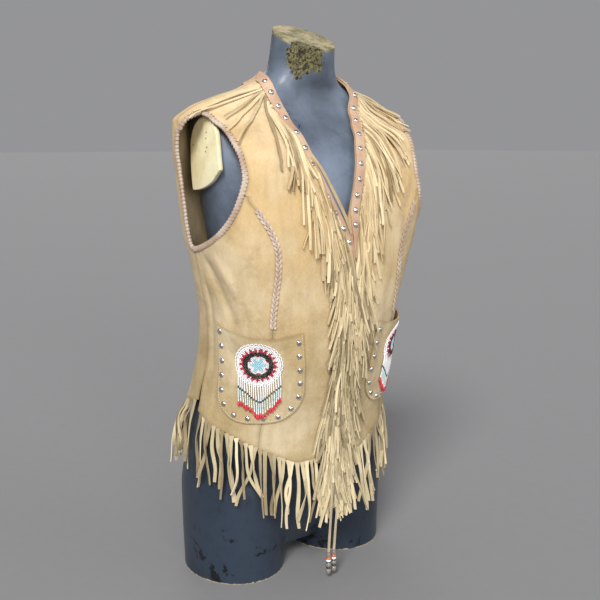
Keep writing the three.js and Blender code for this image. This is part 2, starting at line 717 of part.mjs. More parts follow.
function rosette(side) {
  const { sectors } = ROSETTE;
  const rings = [0.36, 0.7, 1.0];       // shares of the radius
  const relief = [3.4, 2.6, 2.0];       // beadwork is thickest round the middle
  const hollow = 2.8;
  const outer = [];
  const inner = [];
  const spot = (across, up, out) => {
    const place = onPocket(side, across, up);
    return vest.lifted(side * place.girth, place.z, pocketFace(across, up) + out);
  };
  rings.forEach((share, ring) => {
    for (let i = 0; i < sectors; i += 1) {
      const angle = (2 * Math.PI * i) / sectors;
      const across = ROSETTE.radius * share * Math.cos(angle);
      const up = ROSETTE.middle + ROSETTE.radius * share * Math.sin(angle);
      outer.push(spot(across, up, LAID + relief[ring]));
      inner.push(spot(across, up, LAID));
    }
  });
  outer.push(spot(0, ROSETTE.middle, LAID + hollow));
  inner.push(spot(0, ROSETTE.middle, LAID));
  const middle = outer.length - 1;
  const faces = [];
  for (let i = 0; i < sectors; i += 1) {
    const next = (i + 1) % sectors;
    faces.push([middle, i, next]);
    for (let ring = 0; ring < rings.length - 1; ring += 1) {
      faces.push([ring * sectors + i, (ring + 1) * sectors + i,
        (ring + 1) * sectors + next, ring * sectors + next]);
    }
  }
  const disc = wall(outer, inner, faces);
  return joined([disc, ...rosetteDangles(side)]);
}

const DANGLES = { count: 8, spread: 27, top: 68, centre: 6, side: 26, radius: 1.9 };
function rosetteDangles(side) {
  return Array.from({ length: DANGLES.count }, (_, i) => {
    const share = (2 * i) / (DANGLES.count - 1) - 1;
    const across = DANGLES.spread * share;
    const end = DANGLES.centre + (DANGLES.side - DANGLES.centre) * Math.abs(share);
    const start = ROSETTE.middle - Math.sqrt(ROSETTE.radius ** 2 - across ** 2) + 4;
    const rings = levelsBetween(start, end, 2).map((up) => {
      const place = onPocket(side, across, up);
      return Array.from({ length: 3 }, (_unused, k) => {
        const angle = (2 * Math.PI * k) / 3 - Math.PI / 6;
        const around = vest.slide({ girth: side * place.girth, z: place.z },
          new THREE.Vector3(side, 0, 0), DANGLES.radius * Math.cos(angle), 1);
        return vest.lifted(around.girth, place.z,
          pocketFace(across, up) + LAID + DANGLES.radius * (0.6 + Math.sin(angle)));
      });
    });
    return loft(rings);
  });
}

for (const [tag, side] of SIDES) {
  piece(`pocket_${tag}`, pocket(side), MATERIAL.suede);
  piece(`rosette_${tag}`, rosette(side), MATERIAL.beads);
}

// ---------------------------------------------------------------- fringe
// Seeded numbers in -1 to 1, so that strands sway unevenly but always alike.
function swayer(seed) {
  let state = seed;
  return () => {
    state = (state * 16807) % 2147483647;
    return (2 * state) / 2147483647 - 1;
  };
}

// A comb: a backing strip with strands hanging from its far edge, as one wall.
// strip(s, t) is a place across the strip, strand(i, part, edge) one down strand i, both as
// { outer, inner }; part runs over 1..segments and edge is -1 or 1.
function comb(roots, halfWidth, segments, strip, strand) {
  const outer = [];
  const inner = [];
  const faces = [];
  const add = (vertex) => {
    outer.push(vertex.outer);
    inner.push(vertex.inner);
    return outer.length - 1;
  };
  let previous = null;
  roots.forEach((root, i) => {
    const top = [add(strip(root - halfWidth, 0)), add(strip(root + halfWidth, 0))];
    const foot = [add(strip(root - halfWidth, 1)), add(strip(root + halfWidth, 1))];
    faces.push([top[0], top[1], foot[1], foot[0]]);
    if (previous) faces.push([previous.top, top[0], foot[0], previous.foot]);
    previous = { top: top[1], foot: foot[1] };
    let above = foot;
    for (let part = 1; part <= segments; part += 1) {
      const below = [add(strand(i, part, -1)), add(strand(i, part, 1))];
      faces.push([above[0], above[1], below[1], below[0]]);
      above = below;
    }
  });
  return wall(outer, inner, faces);
}

const STRAND = { half: 2.1, thick: 1.5, length: 112, segments: 3 };
const DOWN = new THREE.Vector3(0, 0, -1);

// Front fringe: the backing runs beside the neck band's outer edge, from the shoulder to the
// hem. Strands at the shoulder lie over the shoulder, the rest hang down and a little outwards.
const FRINGE_TOP = 742;
const FRINGE_FOOT = 96;         // no strand of it hangs lower than the hem fringe
const SHOULDER_TILT = [70, 60, 42, 34, 28, 25];    // degrees, for the strands nearest the shoulder
const FRINGE_TILT = { left: 21, right: 16 };   // the others hang side by side, so none crosses
const ROOT_SPACING = { chest: 11, edge: 18.5 };
const CHEST_RUN = { left: 176, right: 240 };   // length of edge with the chest spacing
function frontFringe(side) {
  const sway = swayer(side > 0 ? 11 : 23);
  const edge = (level) => (side > 0 ? Math.max(leftBandEdge(level), leftNeckEdge(level))
    : rightNeckEdge(level));
  // The left band runs out below the V, so the left strip moves in towards the edge there.
  const offset = (level) => (side > 0
    ? BAND.width + 3.8 - 9 * (1 - smooth((level - 470) / 110)) : BAND.width + 1.5);
  const levelAt = runLevels(side, edge, FRINGE_TOP, HEM_LEVEL + 6);
  const roots = [];
  const chest = side > 0 ? CHEST_RUN.left : CHEST_RUN.right;
  const spacing = (run) => (run < chest ? ROOT_SPACING.chest : ROOT_SPACING.edge);
  for (let run = 4; run < levelAt.length - 4; run += spacing(run)) roots.push(run);
  const out = LAID;
  const strip = (run, t) => {
    const level = levelAt.at(run);
    const place = besideEdge(side, edge, level, offset(level) + STRIP.width * t);
    return {
      outer: onFront(side, place.girth, place.z, out + STRIP.thick),
      inner: onFront(side, place.girth, place.z, out),
    };
  };
  const plans = roots.map((run, i) => {
    const tilt = deg(SHOULDER_TILT[i] ?? (side > 0 ? FRINGE_TILT.left : FRINGE_TILT.right));
    const length = STRAND.length * (1 + 0.1 * sway());
    const fall = (levelAt.at(run) - FRINGE_FOOT) / Math.cos(tilt);
    return {
      run,
      tilt: side * tilt,
      length: Math.min(length, fall),
      lift: 4.4 + 0.7 * sway(),
    };
  });
  const strand = (i, part, edgeSide) => {
    const { run, tilt, length, lift } = plans[i];
    const share = part / STRAND.segments;
    const level = levelAt.at(run);
    const root = besideEdge(side, edge, level, offset(level) + STRIP.width);
    const heading = new THREE.Vector3(Math.sin(tilt), 0, -Math.cos(tilt));
    const across = new THREE.Vector3(-Math.cos(tilt), 0, -Math.sin(tilt));
    const along = vest.slide({ girth: side * root.girth, z: root.z }, heading, length * share, 5);
    const place = vest.slide(along, across, side * edgeSide * STRAND.half, 1);
    const low = smooth((HEM_LEVEL + 90 - level) / 60);
    const raised = out + (lift + 5 * low * share) * Math.min(1, 3 * share);
    return {
      outer: onFront(side, side * place.girth, place.z, raised + STRAND.thick),
      inner: onFront(side, side * place.girth, place.z, raised),
    };
  };
  return comb(roots, STRAND.half, STRAND.segments, strip, strand);
}

// Levels down an edge curve at each millimetre of its length.
function runLevels(side, edge, top, bottom) {
  const levels = [];
  let here = vest.point(side * edge(top), top);
  let walked = 0;
  for (let level = top; level >= bottom; level -= 0.5) {
    const next = vest.point(side * edge(level), level);
    walked += next.distanceTo(here);
    here = next;
    while (levels.length <= walked) levels.push(level);
  }
  return {
    length: levels.length,
    at: (run) => levels[THREE.MathUtils.clamp(Math.round(run), 0, levels.length - 1)],
  };
}

// Hem fringe: the strip is parted from the hem edge and the strands hang straight down.
const HEM_STRAND = { half: 2.6, length: 100, segments: 2, spacing: 11, part: 0.8 };
function hemFringe(from, to, hem, wallAt, seed) {
  const sway = swayer(seed);
  const places = [];
  let here = vest.point(from, hem(from));
  let walked = HEM_STRAND.spacing;
  for (let girth = from; girth <= to; girth += 0.1) {
    const next = vest.point(girth, hem(girth));
    walked += next.distanceTo(here);
    here = next;
    if (walked >= HEM_STRAND.spacing) {
      places.push(girth);
      walked = 0;
    }
  }
  const halfTurn = (girth) => HEM_STRAND.half / vest.frame(girth, hem(girth)).around.length();
  const plans = places.map((girth) => ({
    girth,
    drift: 2.5 * sway(),
    length: HEM_STRAND.length * (1 + 0.08 * sway()),
    flare: 1.5 + 1.5 * sway(),
  }));
  const strip = (girth, t) => {
    const z = hem(girth) - HEM_STRAND.part - STRIP.width * t;
    return { outer: wallAt(girth, z, 0), inner: wallAt(girth, z, -WALL) };
  };
  const strand = (i, part, edgeSide) => {
    const { girth, drift, length, flare } = plans[i];
    const share = part / HEM_STRAND.segments;
    const turn = halfTurn(girth);
    const middle = girth + (turn / HEM_STRAND.half) * drift * share * share;
    const z = hem(girth) - HEM_STRAND.part - STRIP.width - length * share;
    const place = middle + edgeSide * turn;
    return {
      outer: wallAt(place, z, flare * share),
      inner: wallAt(place, z, flare * share - STRAND.thick),
    };
  };
  return comb(places, halfTurn(places[0]), HEM_STRAND.segments, strip, strand);
}

for (const [tag, side] of SIDES) {
  piece(`front_fringe_${tag}`, frontFringe(side), MATERIAL.suede);
  const wallAt = (girth, z, out) => onFront(side, girth, z, out);
  const hemAt = (girth) => frontHem(Math.abs(girth));
  piece(`hem_fringe_${tag}`, hemFringe(leftNeckEdge(HEM_LEVEL), 86, hemAt, wallAt, 31 + side),
    MATERIAL.suede);
}
const backHemAt = (girth) => backHem(Math.min(girth, 360 - girth));
piece('hem_fringe_back', hemFringe(93, 266, backHemAt,
  (girth, z, out) => vest.lifted(girth, z, out), 47), MATERIAL.suede);

// ---------------------------------------------------------------- beaded ties
const TIE = { half: 1.9, thick: 1.6, foot: 8, beadTop: 44, seat: 0.5, sides: 8 };
// The right tie lies on the right band's face and the left one on the left front beside it.
// [x, z, how far in front of the carrying face]; both then hang clear of the hem fringe.
const TIE_COURSE = {
  r: [[-1, 222, 0], [-1, 197, 0], [-4, 168, 5], [-9, 110, 8], [-14, 44, 8]],
  l: [[13.5, 216, 0], [13, 197, 0], [11.5, 170, 8], [4, 110, 11], [-2, 44, 11]],
};
function tieRoute(side) {
  const face = side > 0 ? 0 : OVERLAP_LIFT + BAND_OUT + BAND.thick;
  return TIE_COURSE[side > 0 ? 'l' : 'r'].map(([x, z, away]) => {
    const front = vest.point(0, z).y - face - TIE.seat - TIE.thick / 2;
    return new THREE.Vector3(x, front - away, z);
  });
}
function tie(side) {
  const route = new THREE.CatmullRomCurve3(tieRoute(side), false, 'centripetal');
  const steps = 14;
  const rings = Array.from({ length: steps + 1 }, (_, i) => {
    const spot = route.getPoint(i / steps);
    return [[-1, -1], [1, -1], [1, 1], [-1, 1]].map(([a, b]) => (
      new THREE.Vector3(spot.x + a * TIE.half, spot.y + b * TIE.thick / 2, spot.z)));
  });
  return loft(rings);
}
// The stack of beads on a tie's end, as [radius, height above its foot].
const BEAD_STACK = [[0, 0], [2.4, 0], [4, 4], [3.2, 8], [4.2, 12], [3.2, 16], [4.2, 21],
  [3.2, 25], [3.8, 31]];
function tieBeads(side) {
  const foot = tieRoute(side).at(-1);
  const top = TIE.beadTop - GAP;
  const profile = [...BEAD_STACK.map(([radius, up]) => [radius, TIE.foot + up]),
    [2.2, top], [0, top]];
  const beads = new THREE.LatheGeometry(profile.map(([x, y]) => new THREE.Vector2(x, y)),
    TIE.sides);
  beads.rotateX(Math.PI / 2);
  beads.translate(foot.x, foot.y, 0);
  return joined([beads]);
}
for (const [tag, side] of SIDES) {
  piece(`tie_thong_${tag}`, tie(side), MATERIAL.tie);
  piece(`tie_beads_${tag}`, tieBeads(side), MATERIAL.beads);
}

export default product;
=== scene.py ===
"""Fringed beaded suede vest on a limbless torso dress form: the finished look of every piece.

The vest is dressed as its maker cut it: five suede panels on one garment surface, studded neck
bands, laced armholes and seams, two studded pockets with beaded rosettes, fringe down the front
edges and round the hem, and two beaded ties. Shapes are worked out in millimetres in the frame of
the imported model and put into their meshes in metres.
"""

from __future__ import annotations

import json
import logging
from dataclasses import dataclass, field
from enum import Enum
from functools import cached_property
from typing import Callable, Sequence

import bmesh
import bpy
import numpy as np
from mathutils import Vector
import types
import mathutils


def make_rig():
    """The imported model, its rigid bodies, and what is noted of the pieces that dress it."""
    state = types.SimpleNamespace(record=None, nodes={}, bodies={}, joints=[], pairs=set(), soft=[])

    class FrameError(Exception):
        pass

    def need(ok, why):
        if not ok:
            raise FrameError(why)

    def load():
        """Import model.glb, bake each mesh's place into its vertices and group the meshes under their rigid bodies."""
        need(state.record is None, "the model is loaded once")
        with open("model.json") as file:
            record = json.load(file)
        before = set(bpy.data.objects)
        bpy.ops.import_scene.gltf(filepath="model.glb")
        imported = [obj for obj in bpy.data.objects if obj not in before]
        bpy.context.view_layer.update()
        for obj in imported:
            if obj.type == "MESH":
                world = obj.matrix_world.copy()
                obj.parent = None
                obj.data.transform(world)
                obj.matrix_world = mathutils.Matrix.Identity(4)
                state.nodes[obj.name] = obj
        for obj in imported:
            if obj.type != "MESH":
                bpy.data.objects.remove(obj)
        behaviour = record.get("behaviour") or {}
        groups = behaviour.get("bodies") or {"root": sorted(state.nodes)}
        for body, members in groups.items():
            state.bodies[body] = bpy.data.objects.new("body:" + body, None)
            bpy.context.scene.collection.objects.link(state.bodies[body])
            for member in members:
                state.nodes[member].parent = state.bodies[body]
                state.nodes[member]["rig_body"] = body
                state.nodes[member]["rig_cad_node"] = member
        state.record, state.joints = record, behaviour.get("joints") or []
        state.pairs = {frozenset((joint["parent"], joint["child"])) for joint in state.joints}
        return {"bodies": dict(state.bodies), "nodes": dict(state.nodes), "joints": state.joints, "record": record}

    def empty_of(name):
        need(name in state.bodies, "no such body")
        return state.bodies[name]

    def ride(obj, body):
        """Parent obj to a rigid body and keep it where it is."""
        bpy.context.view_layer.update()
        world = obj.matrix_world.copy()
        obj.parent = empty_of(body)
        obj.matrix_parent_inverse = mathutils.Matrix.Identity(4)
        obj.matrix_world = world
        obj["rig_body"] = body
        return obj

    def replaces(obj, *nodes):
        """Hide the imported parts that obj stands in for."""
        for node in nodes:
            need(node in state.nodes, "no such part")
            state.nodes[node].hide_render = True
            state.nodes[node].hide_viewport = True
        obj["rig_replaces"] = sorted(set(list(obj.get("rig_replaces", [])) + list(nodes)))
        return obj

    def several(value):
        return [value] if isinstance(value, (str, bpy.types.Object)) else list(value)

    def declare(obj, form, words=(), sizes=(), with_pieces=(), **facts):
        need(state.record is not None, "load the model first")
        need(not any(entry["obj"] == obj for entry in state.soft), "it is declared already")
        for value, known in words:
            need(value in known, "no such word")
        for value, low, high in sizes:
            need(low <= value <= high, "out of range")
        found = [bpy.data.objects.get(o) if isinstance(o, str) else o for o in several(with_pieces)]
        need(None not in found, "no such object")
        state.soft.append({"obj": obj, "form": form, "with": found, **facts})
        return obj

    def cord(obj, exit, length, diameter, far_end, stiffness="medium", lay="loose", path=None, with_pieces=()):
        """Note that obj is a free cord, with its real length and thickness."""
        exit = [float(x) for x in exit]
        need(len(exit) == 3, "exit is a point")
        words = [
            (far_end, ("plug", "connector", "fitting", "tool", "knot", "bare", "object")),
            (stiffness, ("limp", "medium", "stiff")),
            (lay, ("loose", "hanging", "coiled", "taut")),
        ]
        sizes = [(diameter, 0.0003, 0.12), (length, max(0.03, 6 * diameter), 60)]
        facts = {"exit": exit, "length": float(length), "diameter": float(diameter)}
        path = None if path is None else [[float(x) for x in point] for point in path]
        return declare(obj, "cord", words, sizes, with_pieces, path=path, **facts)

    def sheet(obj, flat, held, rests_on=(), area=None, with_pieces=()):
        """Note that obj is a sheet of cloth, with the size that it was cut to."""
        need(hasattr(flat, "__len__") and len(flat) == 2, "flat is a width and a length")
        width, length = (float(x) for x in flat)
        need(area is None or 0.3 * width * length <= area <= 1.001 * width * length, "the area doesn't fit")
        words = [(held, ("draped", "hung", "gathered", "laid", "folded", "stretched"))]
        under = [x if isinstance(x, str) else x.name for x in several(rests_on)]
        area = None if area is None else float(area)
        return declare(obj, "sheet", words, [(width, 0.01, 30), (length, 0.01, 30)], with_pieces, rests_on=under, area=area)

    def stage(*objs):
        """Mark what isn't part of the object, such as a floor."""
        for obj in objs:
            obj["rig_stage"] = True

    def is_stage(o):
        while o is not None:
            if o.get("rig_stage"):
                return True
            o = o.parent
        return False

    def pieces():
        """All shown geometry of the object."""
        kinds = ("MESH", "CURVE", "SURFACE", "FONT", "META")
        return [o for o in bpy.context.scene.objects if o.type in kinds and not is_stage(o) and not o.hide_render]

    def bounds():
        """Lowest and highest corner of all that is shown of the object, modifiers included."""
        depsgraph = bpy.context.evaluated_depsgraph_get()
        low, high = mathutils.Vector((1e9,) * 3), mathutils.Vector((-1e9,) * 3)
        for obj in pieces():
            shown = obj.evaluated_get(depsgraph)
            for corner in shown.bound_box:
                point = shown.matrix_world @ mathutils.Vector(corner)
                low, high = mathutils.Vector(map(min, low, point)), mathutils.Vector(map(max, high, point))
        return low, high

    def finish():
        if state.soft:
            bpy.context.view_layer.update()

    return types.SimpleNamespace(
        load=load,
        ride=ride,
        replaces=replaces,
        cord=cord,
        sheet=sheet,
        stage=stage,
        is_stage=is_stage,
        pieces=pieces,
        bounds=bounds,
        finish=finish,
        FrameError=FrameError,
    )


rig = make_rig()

LOG = logging.getLogger("vest")
MM = 0.001
SIZE_FILE = "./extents.json"
UPWARD = np.array([0.0, 0.0, 1.0])

Array = np.ndarray
Number = float | Array
Piece = bpy.types.Object
Material = bpy.types.Material
Socket = bpy.types.NodeSocket

# ---------- driving dimensions, in mm
WALL = 1.9              # suede of the panels
GAP = 0.3               # between two pieces at a seam
HEM_LEVEL = 192.0       # centre front hem, above the floor
HEM_FADE = 150.0        # height over which rows change from the front hem's curve to level
BACK_HEM_FADE = 190.0   # the same on the back
SLIT_TOP = 295.0        # top of the side slits
NECK_TOP = 754.0        # where the neck edge meets the shoulder seam
SIDE_SEAM = 90.0        # degrees of girth
ARMHOLE_LOW = 508.0     # the armhole's lowest point, at the side seam
ARMHOLE_HIGH = 700.0    # its highest point, at the shoulder seam
ORIGIN_SHIFT = -22.25   # puts the part's footprint centre on the Z axis
OVERLAP_LIFT = 2.7      # the right front lies this far out over the left front
BAND_WIDTH = 15.0
BAND_THICK = 1.8
LEFT_BAND_FOOT = 488.0  # where the left band ends in a point
STUD_RADIUS = 4.3
STUD_HEIGHT = 2.6
NECK_END = 809.0        # height of the neck's slanted cut, at the middle of the neck
NECK_SLANT = float(np.tan(np.radians(25)))      # how steeply that cut rises backwards
NECK_LEAN = 18.0        # how far forward the neck's middle is at its end
THROAT_PATCH = (-28.0, -82.0, 779.0)            # middle of the scraped place on the throat
GIRTH_STEP = 0.2        # degrees to either side of a place, for the tangent round the body
HEIGHT_STEP = 0.5       # mm above and below it, for the upward tangent

# Level sections of the form and of the vest, from below: height, half width, depth before and
# behind the middle, y of the middle, and roundness before and behind, where 1 is an ellipse.
SECTION_COLUMNS = ("half", "front", "back", "centre", "round_front", "round_back")
FORM_ROWS = (
    (36, 118, 58, 74, 38, 1.0, 1.0),
    (80, 158, 86, 100, 35, 1.0, 1.0),
    (140, 170, 98, 116, 31, 0.95, 0.95),
    (203, 168, 102, 120, 26, 0.9, 0.9),
    (283, 154, 100, 106, 19, 0.9, 0.9),
    (363, 138, 94, 90, 7, 0.88, 0.88),
    (413, 133, 92, 84, 2, 0.86, 0.86),
    (473, 138, 96, 86, -2, 0.84, 0.86),
    (523, 146, 100, 90, -4, 0.82, 0.84),
    (573, 156, 98, 92, -6, 0.8, 0.84),
    (623, 168, 84, 94, -8, 0.8, 0.84),
    (663, 178, 64, 90, -8, 0.84, 0.84),
    (688, 180, 54, 75, -1, 0.86, 0.86),
    (705, 166, 50, 62, 3, 0.86, 0.86),
    (723, 124, 47, 53, 2, 0.9, 0.9),
    (735, 88, 46, 50, 0, 0.95, 0.95),
    (748, 62, 48, 49, -6, 1, 1),
    (768, 51, 46, 46, -12, 1, 1),
    (809, 45.5, 45.5, 45.5, -18, 1, 1),
)
VEST_ROWS = (
    (20, 170, 120, 142, 32, 0.9, 0.9),
    (183, 173, 120, 142, 32, 0.9, 0.9),
    (233, 171, 120, 136, 30, 0.88, 0.9),
    (283, 163, 120, 122, 22, 0.85, 0.9),
    (353, 157, 118, 104, 6, 0.8, 0.88),
    (413, 160, 118, 98, -2, 0.76, 0.86),
    (473, 172, 118, 98, -5, 0.69, 0.84),
    (523, 185, 116, 102, -8, 0.64, 0.82),
    (573, 193, 108, 108, -13, 0.6, 0.8),
    (623, 198, 94, 112, -17, 0.57, 0.8),
    (663, 203, 78, 102, -13, 0.62, 0.82),
    (688, 201, 64, 82, -1, 0.76, 0.84),
    (706.8, 174, 57, 69, 5, 0.86, 0.86),
    (724.8, 130, 54, 60, 3, 0.9, 0.9),
    (736.8, 94, 53, 57, 0, 0.95, 0.95),
    (749.8, 69, 55, 56, -6, 1, 1),
    (769.8, 57, 52, 52, -12, 1, 1),
)


# ---------- curves and surfaces
def smooth(value: Number) -> Number:
    """Return the smooth step of a value: 3v squared less 2v cubed, held between 0 and 1."""
    held = np.clip(value, 0.0, 1.0)
    return held * held * (3.0 - 2.0 * held)


@dataclass(frozen=True)
class Profile:
    """A curve through rows of (place, value), smooth and never overshooting a row."""

    rows: tuple[tuple[float, float], ...]

    @cached_property
    def _fit(self) -> tuple[Array, Array, Array]:
        """Places, values and tangents; a tangent is the weighted harmonic mean of its slopes."""
        x, y = np.array(self.rows, dtype=float).T
        step = np.diff(x)
        slope = np.diff(y) / step
        tangent = np.empty_like(y)
        tangent[0], tangent[-1] = slope[0], slope[-1]
        before, after = slope[:-1], slope[1:]
        level = before * after <= 0
        first, second = 2 * step[1:] + step[:-1], step[1:] + 2 * step[:-1]
        safe_before = np.where(level, 1.0, before)
        safe_after = np.where(level, 1.0, after)
        mean = (first + second) / (first / safe_before + second / safe_after)
        tangent[1:-1] = np.where(level, 0.0, mean)
        return x, y, tangent

    def __call__(self, place: Number) -> Array:
        """Evaluate the curve by cubic Hermite spans.

        Args:
            place: one place or an array of places.

        Returns:
            The value at each place, held at the first and last rows beyond them.
        """
        x, y, tangent = self._fit
        at = np.asarray(place, dtype=float)
        i = np.clip(np.searchsorted(x, at, side="right") - 1, 0, len(x) - 2)
        span = x[i + 1] - x[i]
        t = np.clip((at - x[i]) / span, 0.0, 1.0)
        return ((1 + 2 * t) * (1 - t) ** 2 * y[i] + t * (1 - t) ** 2 * span * tangent[i]
                + t * t * (3 - 2 * t) * y[i + 1] + t * t * (t - 1) * span * tangent[i + 1])


# Girth angles of edges and seams by height, counted towards the wearer's own side.
SHOULDER_ROWS = ((713, 22), (728, 33), (737, 46), (745, 62), (751, 76), (NECK_TOP, 82))
LEFT_V_ROWS = ((578, 2.6), (606, 5.2), (627, 7.2), (648, 9), (672, 12), (697, 17),
               *SHOULDER_ROWS)
RIGHT_NECK_EDGE = Profile((
    (HEM_LEVEL, -2.7), (500, -2.7), (520, -2), (541, 1), (557, 3.8), (583, 7.8), (610, 11),
    (635, 13.2), (660, 14.6), (677, 15.2), (695, 16.5), *SHOULDER_ROWS))
LEFT_NECK_EDGE = Profile((
    (HEM_LEVEL, -2.7), (500, -2.7), (520, -2.2), (541, -0.6), (558, 0.9), *LEFT_V_ROWS))
LEFT_BAND_EDGE = Profile((
    (LEFT_BAND_FOOT, 3.5), (500, 3.5), (520, 3.1), (541, 2.1), (558, 1.7), *LEFT_V_ROWS))
PRINCESS_SEAM = Profile((
    (192, 40), (300, 40), (395, 40.5), (415, 40.2), (457, 37.3), (481, 35.3), (515, 34.1),
    (528, 34.8), (548, 37), (568, 40), (581, 43)))
ARMHOLE_FRONT = Profile((
    (ARMHOLE_LOW, SIDE_SEAM), (510, 84), (516, 75), (524, 66.5), (539, 57.5), (561, 50), (582, 45.8),
    (599, 43.3), (613, 41.8), (640, 41.3), (655, 42.3), (668, 43.8), (676, 45.6), (683, 51),
    (690, 62), (695, 73), (ARMHOLE_HIGH, SIDE_SEAM)))
ARMHOLE_BACK = Profile((
    (ARMHOLE_LOW, SIDE_SEAM), (511, 94), (520, 97), (541, 98), (574, 99), (598, 101),
    (623, 102.5), (647, 102), (665, 100), (680, 97.5), (692, 94.5), (698, 92),
    (ARMHOLE_HIGH, SIDE_SEAM)))
# How far the rows at the top of the armhole sag below their level, by girth angle.
SHOULDER_SAG = Profile((
    (0, 0), (36, 0), (47, -5), (54, -10), (63, -10), (73, 2), (80, 11), (90, 21), (100, 12),
    (116, 0), (180, 0)))
# Heights of the two hems by girth angle.
FRONT_HEM = Profile(((0, HEM_LEVEL), (19, HEM_LEVEL), (27, 202), (40, 219), (55, 238), (70, 251),
                     (90, 266)))
BACK_HEM = Profile(((90, 281), (110, 272), (140, 250), (180, 240)))


def matched(*values: Number) -> list[Array]:
    """Spread numbers and arrays to one common shape, as floats."""
    return np.broadcast_arrays(*(np.asarray(value, float) for value in values))


def unit(vectors: Array) -> Array:
    """Scale vectors along the last axis to length 1."""
    return vectors / np.maximum(np.linalg.norm(vectors, axis=-1, keepdims=True), 1e-12)


def runs(points: Array) -> Array:
    """Distance walked along a line of points, from 0."""
    return np.concatenate([[0], np.cumsum(np.linalg.norm(np.diff(points, axis=0), axis=1))])


def evenly(points: Array, count: int, with_end: bool = True) -> Array:
    """Resample a line of points into evenly spaced ones."""
    run = runs(points)
    at = np.linspace(0, run[-1], count, endpoint=with_end)
    return np.stack([np.interp(at, run, values) for values in points.T], axis=-1)


def unevenness(points: Array) -> Array:
    """Small slow waves of handled suede: a sum of sines of the place along three slants."""
    waves = ((0.031, 0.013, 0.021, 0.0, 0.5), (-0.017, 0.037, 0.029, 1.9, 0.4),
             (0.061, -0.043, 0.017, 4.1, 0.22), (0.023, 0.071, -0.053, 2.7, 0.18))
    return sum(size * np.sin(points @ np.array([a, b, c]) * 2.0 + phase)
               for a, b, c, phase, size in waves)


class Surface:
    """A body of horizontal sections, each a superellipse with its own front and back depth."""

    def __init__(self, rows: Sequence[Sequence[float]]) -> None:
        """Fit one profile to each column of the table."""
        self.column = {
            name: Profile(tuple((row[0], row[i]) for row in rows))
            for i, name in enumerate(SECTION_COLUMNS, start=1)
        }

    def point(self, girth: Number, z: Number) -> Array:
        """Give places on the surface.

        The reach of a section is (sine to the power p plus cosine to the power p) to the power
        minus 1/p, with p equal to 2 over its roundness.

        Args:
            girth: degrees round the body, 0 at centre front and positive towards its left.
            z: heights in mm.

        Returns:
            Points in mm, with the coordinates on the last axis.
        """
        girth, z = matched(girth, z)
        sine, cosine = np.sin(np.radians(girth)), np.cos(np.radians(girth))
        ahead = cosine > 0
        power = 2.0 / np.where(ahead, self.column["round_front"](z), self.column["round_back"](z))
        depth = np.where(ahead, self.column["front"](z), self.column["back"](z))
        reach = (np.abs(sine) ** power + np.abs(cosine) ** power) ** (-1.0 / power)
        centre = self.column["centre"](z) + ORIGIN_SHIFT
        return np.stack([self.column["half"](z) * reach * sine,
                         centre - depth * reach * cosine, z], axis=-1)

    def frame(self, girth: Number, z: Number) -> tuple[Array, Array, Array]:
        """Give the tangents per degree and per mm of height, and the outward unit normal."""
        around = self.point(girth + GIRTH_STEP, z) - self.point(girth - GIRTH_STEP, z)
        upward = self.point(girth, z + HEIGHT_STEP) - self.point(girth, z - HEIGHT_STEP)
        around, upward = around / (2 * GIRTH_STEP), upward / (2 * HEIGHT_STEP)
        return around, upward, unit(np.cross(around, upward))

    def lifted(self, girth: Number, z: Number, out: Number) -> Array:
        """Give places that lie a distance out of the surface along its normal."""
        normal = self.frame(girth, z)[2]
        return self.point(girth, z) + normal * np.asarray(out, float)[..., None]

    def slide(self, girth: Number, z: Number, direction: Array, distance: Number,
              steps: int) -> tuple[Array, Array]:
        """Walk over the surface: each step solves the tangent plane for a short straight move.

        Args:
            girth: starting girth angles.
            z: starting heights.
            direction: directions to walk in; only the part in the surface counts.
            distance: length of the walk in mm.
            steps: number of straight moves it is split into.

        Returns:
            The girth angles and heights reached.
        """
        girth, z, distance = matched(girth, z, distance)
        for _ in range(steps):
            around, upward, normal = self.frame(girth, z)
            flat = direction - normal * np.sum(direction * normal, axis=-1, keepdims=True)
            move = unit(flat) * (distance / steps)[..., None]
            aa, uu = np.sum(around * around, -1), np.sum(upward * upward, -1)
            au = np.sum(around * upward, -1)
            ma, mu = np.sum(move * around, -1), np.sum(move * upward, -1)
            span = aa * uu - au * au
            girth = girth + (ma * uu - mu * au) / span
            z = z + (mu * aa - ma * au) / span
        return girth, z


@dataclass(frozen=True)
class Crease:
    """One soft trough (negative depth) or ridge, between two places of the garment."""

    start: tuple[float, float]
    end: tuple[float, float]
    width: float
    depth: float

    def height(self, girth: Array, z: Array) -> Array:
        """Depth times a bell across the crease times a smooth fade past both of its ends."""
        per_degree = 3.0        # mm of cloth to a degree of girth, near enough everywhere
        ax, az = self.start[0] * per_degree, self.start[1]
        dx, dz = self.end[0] * per_degree - ax, self.end[1] - az
        length = float(np.hypot(dx, dz))
        px, pz = girth * per_degree - ax, z - az
        along = (px * dx + pz * dz) / length
        across = (px * dz - pz * dx) / length
        run_out = 0.35 * length
        fade = smooth(along / run_out + 0.5) * smooth((length - along) / run_out + 0.5)
        return self.depth * np.exp(-(across / self.width) ** 2) * fade


